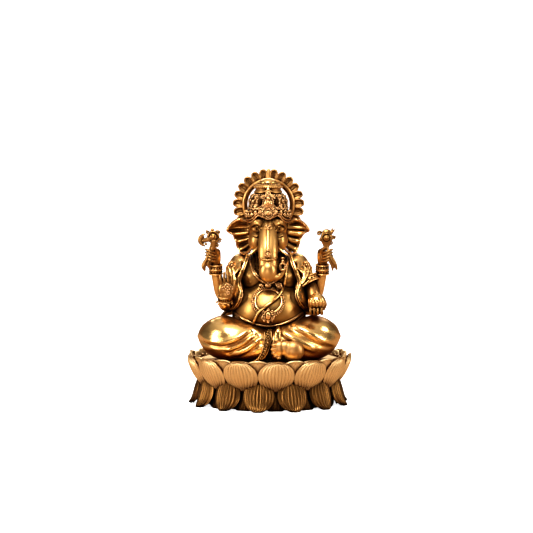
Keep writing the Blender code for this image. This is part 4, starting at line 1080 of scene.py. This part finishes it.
for mirror in (1, -1):
    crest_sheets += [
        curl((-0.4 + mirror * 1.9, crest_y + 0.7, 86.6), 0.8, 1.3, 0.27, mirror, 1.0),
        curl((-0.4 + mirror * 1.7, crest_y + 1.2, 90.6), 0.8, 1.3, 0.27, -mirror, 2.0),
        curl((-0.4 + mirror * 3.4, crest_y + 1.2, 84.8), 0.9, 1.4, 0.27, mirror, 0.5),
        curl((-0.4 + mirror * 4.9, crest_y + 2.2, 90.2), 1.0, 1.4, 0.27, mirror, 0.5),
        sweep([(-0.4 + mirror * 1.4, crest_y + 0.5, 86.0, 0.3),
               (-0.4 + mirror * 2.2, crest_y + 0.7, 88.0, 0.3),
               (-0.4 + mirror * 1.5, crest_y + 1.0, 90.2, 0.3)], 30, 8),
        balls([(-0.4 + mirror * 0.9, crest_y + 0.2, 86.3), (-0.4 + mirror * 1.0, crest_y + 0.4, 89.2)],
              0.4, 8, 6),
    ]
piece("crown_crest_leaf", crest_sheets, CROWN_CREST, "satin_brass", "crown_crest")
# The hollows are near-black balls: painted shade, not cut recesses.
crest_hollow_shade = np.array([(-0.4 + mirror * 3.6, crest_y + 1.9, 88.2) for mirror in (1, -1)])
piece("crown_hollow_shade", [balls(crest_hollow_shade, [(1.0, 1.0, 1.5)] * 2, 20, 14)], SHADOW, "satin_brass")


# ---------------------------------------------------------------- Halo
# An open sun disc stands behind the crown on a short stem. Its ring is a bright rim, a channel
# that the painted shade darkens to brown and a thinner inner rim; round it stand cupped petals, each with a
# raised vein.

refinish("halo_stem", OLIVE)
halo_low, halo_high = box("halo_ring")
HALO = (halo_low + halo_high) / 2
ring_profile = np.array([(9.35, 0.9), (9.3, 0.1), (9.45, -0.25), (9.7, -0.05), (9.95, 0.05),
                         (10.15, -0.45), (10.4, -1.05), (10.85, -1.35), (11.3, -1.15), (11.6, -0.7),
                         (11.65, 0.1), (11.4, 0.9)])
section = flow(ring_profile, 60, closed=True)
halo_turn = np.linspace(0, math.tau, 240, endpoint=False)[:, None]


def round_halo(along, across, depth, turn):
    """Points of the disc: along and across a ray that leans turn from upright, and depth back."""
    x, z = along * np.sin(turn) + across * np.cos(turn), along * np.cos(turn) - across * np.sin(turn)
    return HALO + np.stack(np.broadcast_arrays(x, depth, z), -1)


ring_skin = round_halo(section[:, 0], 0, section[:, 1], halo_turn)
piece("halo_ring_turned", [(ring_skin, True, True)], RUBBED, "polished_brass", "halo_ring")

RAY_ROOT, RAY_TIP, RAY_HALF = 11.2, 15.4, 1.62
t = np.linspace(0, 1, 26)[:, None]
s = np.linspace(-1, 1, 25)[None, :]
rounded = np.sqrt(np.clip(1 - (np.clip(t - 0.42, 0, 1) / 0.58) ** 2.4, 0, 1))
ray_half = RAY_HALF * rounded * (0.80 + 0.20 * np.sin(np.pi * t * 0.9))
ray_across = s * ray_half
ray_along = RAY_ROOT + (RAY_TIP - RAY_ROOT) * (t + 0 * s)
edge_share = np.maximum(np.abs(s), np.clip(t, 0, 1) ** 3)
vein = 0.55 * hump(s, 0.16) * np.clip(1.15 - t, 0, 1)
ray_depth = 0.75 * (1 - edge_share**2.2) - vein - 0.5 + 0.25 * t
ray_degrees = 9.7 + 15.5 * np.arange(11)
ray_turns = np.radians(np.concatenate([ray_degrees, -ray_degrees]))[:, None, None]
rays = round_halo(ray_along, ray_across, ray_depth, ray_turns)
outline_x = np.concatenate([-ray_half[::2, 0], ray_half[::-2, 0]])
outline_r = np.concatenate([ray_along[::2, 0], ray_along[::-2, 0]])
ray_rims = [sweep(thick(round_halo(outline_r, outline_x, -0.55, turn), 0.22), 60, 6)
            for turn in ray_turns[:, 0, 0]]
tongue_rows = np.array([(0, -0.6, 10.9, 1.0), (0, -0.5, 13.2, 1.15), (0, -0.2, 14.9, 0.8)]) + (*HALO, 0)
tongue = sweep(tongue_rows, 30, 16, 0.4, (0, 1, 0))
piece("halo_rays_cupped", [(rays, False, False)], RUBBED, "polished_brass", "halo_rays", wall=0.45,
      outward=False)
piece("halo_ray_rims", ray_rims + [tongue], RUBBED, "polished_brass")


# ---------------------------------------------------------------- Arms
# Four arms, plump and smooth. The rear pair are raised from the elbow; the front pair come
# forward from under the shawl.

right_front = [(-15.6, 0.4, 54.5, 2.9), (-18.0, -1.2, 49.6, 3.3), (-18.8, -3.6, 45.6, 3.3),
               (-18.9, -6.6, 43.9, 3.0), (-19.2, -9.4, 45.2, 2.5), (-19.1, -11.0, 48.0, 2.1)]
right_rear = [(-15.2, 3.6, 54.0, 2.8), (-17.0, 4.6, 49.5, 3.0), (-19.2, 4.2, 46.4, 2.9),
              (-20.9, 2.4, 48.4, 2.8), (-22.0, 1.2, 52.2, 2.5), (-22.9, 0.4, 56.4, 2.2),
              (-23.5, -0.2, 60.0, 2.0)]
left_front = [(15.6, 0.4, 54.5, 2.9), (17.9, -1.0, 50.4, 3.3), (19.2, -3.4, 46.2, 3.2),
              (20.2, -6.2, 43.6, 2.9), (20.4, -9.0, 42.6, 2.3), (20.5, -11.0, 42.0, 2.0)]
SHADED = brass("shaded_arm_brass", (0.40, 0.21, 0.075), (0.012, 0.004, 0.001), roughness=0.36, reach=4.0,
               tarnish=0.4)
for name, stations, count, finish in (
    ("right_front_arm", right_front, 70, POLISHED), ("right_rear_arm", right_rear, 80, POLISHED),
    ("left_front_arm", left_front, 70, SHADED), ("left_rear_arm", mirrored(right_rear), 80, POLISHED),
):
    piece(name + "_skin", [sweep(stations, count, 28)], finish, "polished_brass", name)

# Five bracelets: each is a cast band with rolled rims and one or two rows of piercings, shown as
# small balls painted near-black with the shade inside the holes.
CUFF_BRASS = brass("cuff_brass", (0.92, 0.54, 0.21), (0.05, 0.014, 0.003), roughness=0.40, reach=0.6,
                   tarnish=0.3)
hole_shade_dots = []


def cuff(centre, axis, radius, height, rows, beads, spikes):
    """Bracelet: a band with rolled rims on an axis; its rows of piercings, balls painted with the holes'
    shade, are collected apart.
    """
    axis = np.array(axis, float) / np.linalg.norm(axis)
    side = np.cross(axis, (0, 1, 0.01))
    side /= np.linalg.norm(side)
    ahead = np.cross(side, axis)
    turn = np.linspace(0, math.tau, beads, endpoint=False)
    circle = np.cos(turn)[:, None] * side + np.sin(turn)[:, None] * ahead
    centre = np.array(centre, float)
    sheets = []
    for share in np.linspace(-0.5, 0.5, rows + 1):
        sheets.append(sweep(thick(centre + axis * height * share + circle * (radius + 0.1), 0.3),
                            3 * beads, 8, loop=True))
    for share in (np.arange(rows) + 0.5) / rows - 0.5:
        hole_shade_dots.append(balls(centre + axis * height * share + circle * (radius + 0.02),
                               np.full(beads, height / rows * 0.16), 8, 6))
    inner = np.array([(-0.5, -0.35), (-0.5, 0), (0.5, 0), (0.5, -0.35)])
    band = centre + (axis * height) * inner[:, None, :1] + circle[None] * (radius + inner[:, None, 1:])
    sheets.append((band, True, True))
    if spikes:
        tips = centre - axis * (height * 0.5 + 0.6) + circle * (radius + 0.7)
        sheets.append(balls(tips[::2], np.full(len(tips[::2]), 0.5), 8, 6))
    return sheets


for name, node, place, axis, radius, height, rows, beads, spikes in (
    ("right_rear_cuff", "right_rear_bracelet", (-23.2, 0.2, 58.5), (0, -0.15, 1), 2.75, 3.9, 2, 14, False),
    ("left_rear_cuff", "left_rear_bracelet", (23.2, 0.2, 58.5), (0, -0.15, 1), 2.75, 3.9, 2, 14, False),
    ("right_front_cuff", "right_front_bracelet", (-19.2, -10.2, 46.7), (0, -0.35, 1), 2.7, 2.4, 1, 18, True),
    ("left_front_cuff", "left_front_bracelet", (20.3, -8.4, 42.9), (0.1, -1, -0.25), 2.8, 2.4, 1, 18, False),
    ("left_armlet_band", "left_armlet", (17.6, -2.2, 53.8), (0.55, -0.3, -1), 4.0, 2.6, 1, 16, False),
):
    piece(name, cuff(place, axis, radius, height, rows, beads, spikes), CUFF_BRASS, "satin_brass", node)
# Painted shade: the near-black balls stand in for the shade inside the bracelets' holes.
piece("cuff_hole_shade", hole_shade_dots, SHADOW, "satin_brass")


# ---------------------------------------------------------------- Hands
# The wearer's right front hand is raised open in blessing, with a cast flower on its palm; the
# left one holds the sweet from below. The rear hands grip an axe and a looped goad.

palm_y = -11.6
blessing = [balls([(-18.4, palm_y, 50.6)], [(3.7, 1.8, 4.3)], 36, 24),
            balls([(-18.5, palm_y + 0.2, 48.4)], [(3.2, 2.0, 3.2)], 30, 20)]
for x, top, lean in ((-20.9, 57.2, -0.5), (-19.25, 58.6, -0.2), (-17.6, 58.8, 0.1), (-16.0, 57.6, 0.4)):
    blessing.append(sweep([(x + 0.25 - lean * 0.6, palm_y - 0.3, 52.6, 0.8),
                           (x, palm_y - 0.9, 55.0, 0.66),
                           (x + lean * 0.5, palm_y - 0.7, top - 0.6, 0.5)], 40, 16))
blessing.append(sweep([(-15.9, palm_y - 0.4, 49.6, 1.1), (-14.9, palm_y - 0.8, 52.0, 0.9),
                       (-14.7, palm_y - 1.0, 54.4, 0.65)],
                      40, 16))
piece("blessing_hand", blessing, HANDLED, "polished_brass", "right_front_hand", weld=0.14, ease=1)
palm_turn = np.linspace(0, math.tau, 8, endpoint=False)
mark = np.array((-17.9, palm_y - 1.7, 51.9))
piece("palm_flower", [
    balls(facing_ring(mark, 1.2, 1.2, palm_turn), [(0.5, 0.4, 0.5)] * 8, 12, 8),
    balls([mark], [(0.7, 0.5, 0.7)], 14, 10), curl(mark + (0.2, 0.1, -2.4), 1.0, 1.5, 0.3, 1, 1.6),
    curl(mark + (-2.2, 0.2, -0.6), 0.9, 1.4, 0.28, -1, 1.6),
    curl(mark + (2.0, 0.2, -0.4), 0.8, 1.4, 0.26, 1, 1.6),
], CHASED, "satin_brass", "palm_mark")

sweet = np.array((20.6, -13.2, 46.0))
giving = [balls([(20.6, -12.6, 42.2)], [(3.0, 3.0, 1.6)], 30, 20)]
for x in (18.0, 19.6, 21.2, 22.8):
    giving.append(sweep([(x, -13.4, 40.8, 0.72), (x - 0.1, -15.7, 40.6, 0.68),
                         (x - 0.2, -16.7, 41.6, 0.62),
                         (x - 0.2, -16.6, 42.8, 0.48)], 40, 14))
giving.append(sweep([(23.4, -11.6, 42.4, 0.9), (24.2, -12.4, 44.2, 0.8), (24.0, -13.0, 45.8, 0.6)], 30,
                    14))
piece("giving_hand", giving, HANDLED, "polished_brass", "left_front_hand", weld=0.14, ease=1)
SWEET_ROWS = [(42.4, 1.6), (43.3, 3.1), (44.7, 3.85), (46.2, 3.85), (47.6, 3.15), (48.6, 2.1),
              (49.3, 1.1), (50.0, 0.45), (50.4, 0.1)]
sweet_rows = flow(SWEET_ROWS, 60)
girth = np.linspace(0, math.tau, 132, endpoint=False)[None, :]
fade_to_top = np.clip((47.6 - sweet_rows[:, :1]) / 2.5, 0, 1)
fluted = 1 - 0.13 * (0.5 + 0.5 * np.cos(girth * 14)) ** 2 * fade_to_top
sweet_skin = np.stack([sweet[0] + sweet_rows[:, 1:] * fluted * np.cos(girth),
                       sweet[1] + sweet_rows[:, 1:] * fluted * np.sin(girth),
                       sweet_rows[:, :1] + 0 * girth], -1)
piece("sweet", [(closed(sweet_skin), False, True)], POLISHED, "satin_brass", "modak")


def gripping_hand(mirror):
    """Fist round a handle: upright palm, four fingers folded outward over the shaft, and a thumb."""
    sheets = [sweep([(mirror * 23.5, 0, 59.6, 1.9), (mirror * 23.2, -0.3, 62.6, 2.2),
                     (mirror * 23.0, -0.6, 65.8, 2.0)], 30, 24)]
    for z in (62.0, 63.3, 64.6, 65.9):
        sheets.append(sweep([(mirror * 22.9, -1.6, z, 0.6), (mirror * 24.3, -3.4, z + 0.2, 0.57),
                             (mirror * 26.0, -3.7, z + 0.9, 0.55), (mirror * 27.3, -2.8, z + 1.4, 0.5),
                             (mirror * 27.0, -1.6, z + 1.3, 0.45)], 50, 14))
    sheets.append(sweep([(mirror * 22.6, -1.0, 64.4, 0.95), (mirror * 22.9, -2.6, 66.8, 0.8),
                         (mirror * 24.0, -3.6, 68.2, 0.6)],
                        30, 14))
    return sheets


piece("right_rear_fist", gripping_hand(-1), HANDLED, "polished_brass", "right_rear_hand", weld=0.14,
      ease=1)
piece("left_rear_fist", gripping_hand(1), HANDLED, "polished_brass", "left_rear_hand", weld=0.14, ease=1)

# The axe: a crescent blade on the outer side, a domed disc in a ring, curls and a ball on top,
# and the knotted tail of the handle below the hand.
blade_turn = np.linspace(-1.5, 1.5, 40)[:, None]
blade_share = np.linspace(0, 1, 14)[None, :]
blade_bow = 3.3 * np.cos(blade_turn * (1 - 0.25 * blade_share)) * (1 - 0.9 * blade_share)
blade_x = -27.6 - blade_bow - 0.3 * blade_share
blade_z = 71.5 + 2.9 * np.sin(blade_turn) * (1 - 0.62 * blade_share)
blade = np.stack([blade_x, -3.3 - 0.55 * np.sin(np.pi * blade_share**0.7) + 0 * blade_turn, blade_z], -1)
disc = np.array((-24.2, -4.0, 72.8))
circle = np.linspace(0, math.tau, 24, endpoint=False)
axe_sheets = [
    sweep([(-28.2, -3.2, 71.3, 1.0), (-26.4, -3.4, 71.8, 1.1), (-24.6, -3.4, 72.4, 1.2)], 30, 14),
    balls([disc + (0, 0.5, 0)], [(2.7, 0.8, 2.7)], 30, 16), balls([disc], [(1.7, 1.2, 1.7)], 24, 16),
    balls([disc + (0, -1.1, 0)], [(0.7, 0.5, 0.7)], 14, 10),
    sweep(thick(facing_ring(disc, 2.35, 2.35, circle), 0.45), 72, 10, loop=True),
    sweep([(-23.8, -3.4, 70.8, 1.6), (-24.0, -3.4, 69.0, 1.2), (-24.6, -3.4, 67.4, 0.9)], 24, 14),
    curl(disc + (2.6, 0.3, -1.6), 1.0, 1.3, 0.34, 1, 0.6),
    curl(disc + (1.9, 0.3, 2.3), 0.9, 1.3, 0.32, -1, 0.2),
    curl(disc + (-2.3, 0.3, 2.2), 0.8, 1.2, 0.3, 1, 2.2),
    curl(disc + (1.4, 0.2, -3.6), 0.9, 1.2, 0.32, -1, 1.2),
    balls([disc + (-0.4, 0.4, 3.0), disc + (-3.2, 0.3, -3.0)], [(0.8, 0.7, 0.8), (0.6, 0.6, 0.6)], 14,
          10),
]
piece("axe_blade", [(blade, False, False)], HANDLED, "satin_brass", wall=0.7, outward=False)
piece("axe_head_cast", axe_sheets, HANDLED, "satin_brass", "axe_head")
piece("axe_shaft", [
    sweep([(-28.8, -3.4, 59.8, 0.55), (-27.4, -3.6, 62.6, 0.6), (-25.6, -3.6, 67.4, 0.6),
           (-24.4, -3.4, 71.4, 0.6)], 50, 12),
    sweep([(-28.0, -3.0, 58.4, 0.5), (-28.3, -3.2, 60.2, 1.1), (-27.0, -3.0, 62.4, 1.1),
           (-25.4, -2.4, 63.4, 0.8)], 40, 16, 0.6,
          (0, 1, 0)),
    sweep([(-26.0, -3.2, 59.6, 0.5), (-26.4, -3.2, 61.0, 0.9), (-25.6, -2.8, 62.8, 0.8)], 30, 14),
], HANDLED, "polished_brass", "axe_handle")

# The goad: a tapered shield with a stepped boss, an arrowhead above and rope curls beside it.
shield = np.array((24.9, -3.8, 72.2))
goad_sheets = [
    sweep([(24.8, -3.4, 68.0, 1.0), (24.9, -3.6, 70.0, 1.9), (24.9, -3.7, 72.2, 2.7),
           (25.0, -3.6, 74.0, 2.3)], 40, 20, 0.4,
          (0, 1, 0)),
    balls([shield + (0, -1.0, 0.3)], [(1.4, 0.9, 1.4)], 20, 14),
    balls([shield + (0, -1.8, 0.3)], [(0.7, 0.5, 0.7)], 14, 10),
    sweep(thick(facing_ring(shield + (0, -0.8, 0.3), 1.9, 1.9, circle), 0.3), 72, 8, loop=True),
    curl(shield + (-3.1, 0.2, 2.2), 1.0, 1.2, 0.36, 1, 0.3),
    curl(shield + (2.9, 0.2, 0.6), 0.9, 1.2, 0.34, -1, 0.4),
    curl(shield + (1.9, 0.2, -1.8), 1.0, 1.3, 0.34, 1, 2.0),
    curl(shield + (-2.4, 0.2, -0.6), 0.7, 1.2, 0.3, 1, 0.3),
    sweep([(26.3, -3.6, 73.6, 0.5), (27.2, -3.6, 75.0, 0.8), (28.4, -3.6, 76.0, 0.2)], 24, 10),
    sweep([(27.4, -3.6, 76.4, 0.3), (26.9, -3.6, 75.2, 0.45), (25.4, -3.5, 75.4, 0.3)], 24, 10),
]
piece("goad_head_cast", goad_sheets, HANDLED, "satin_brass", "goad_head")
piece("goad_shaft", [
    sweep([(28.2, -3.4, 59.8, 0.55), (27.2, -3.6, 62.6, 0.6), (25.8, -3.6, 66.4, 0.6),
           (24.8, -3.4, 70.4, 0.6)], 50, 12),
    sweep([(29.4, -3.2, 58.8, 0.4), (28.6, -3.4, 60.8, 0.9), (27.2, -3.4, 63.4, 1.0),
           (25.8, -3.0, 65.4, 0.8)], 40, 14),
    sweep([(27.6, -3.2, 58.4, 0.35), (27.4, -3.4, 60.4, 0.7), (26.2, -3.4, 63.0, 0.8),
           (24.8, -3.0, 64.6, 0.7)], 40, 14),
], HANDLED, "polished_brass", "goad_staff")
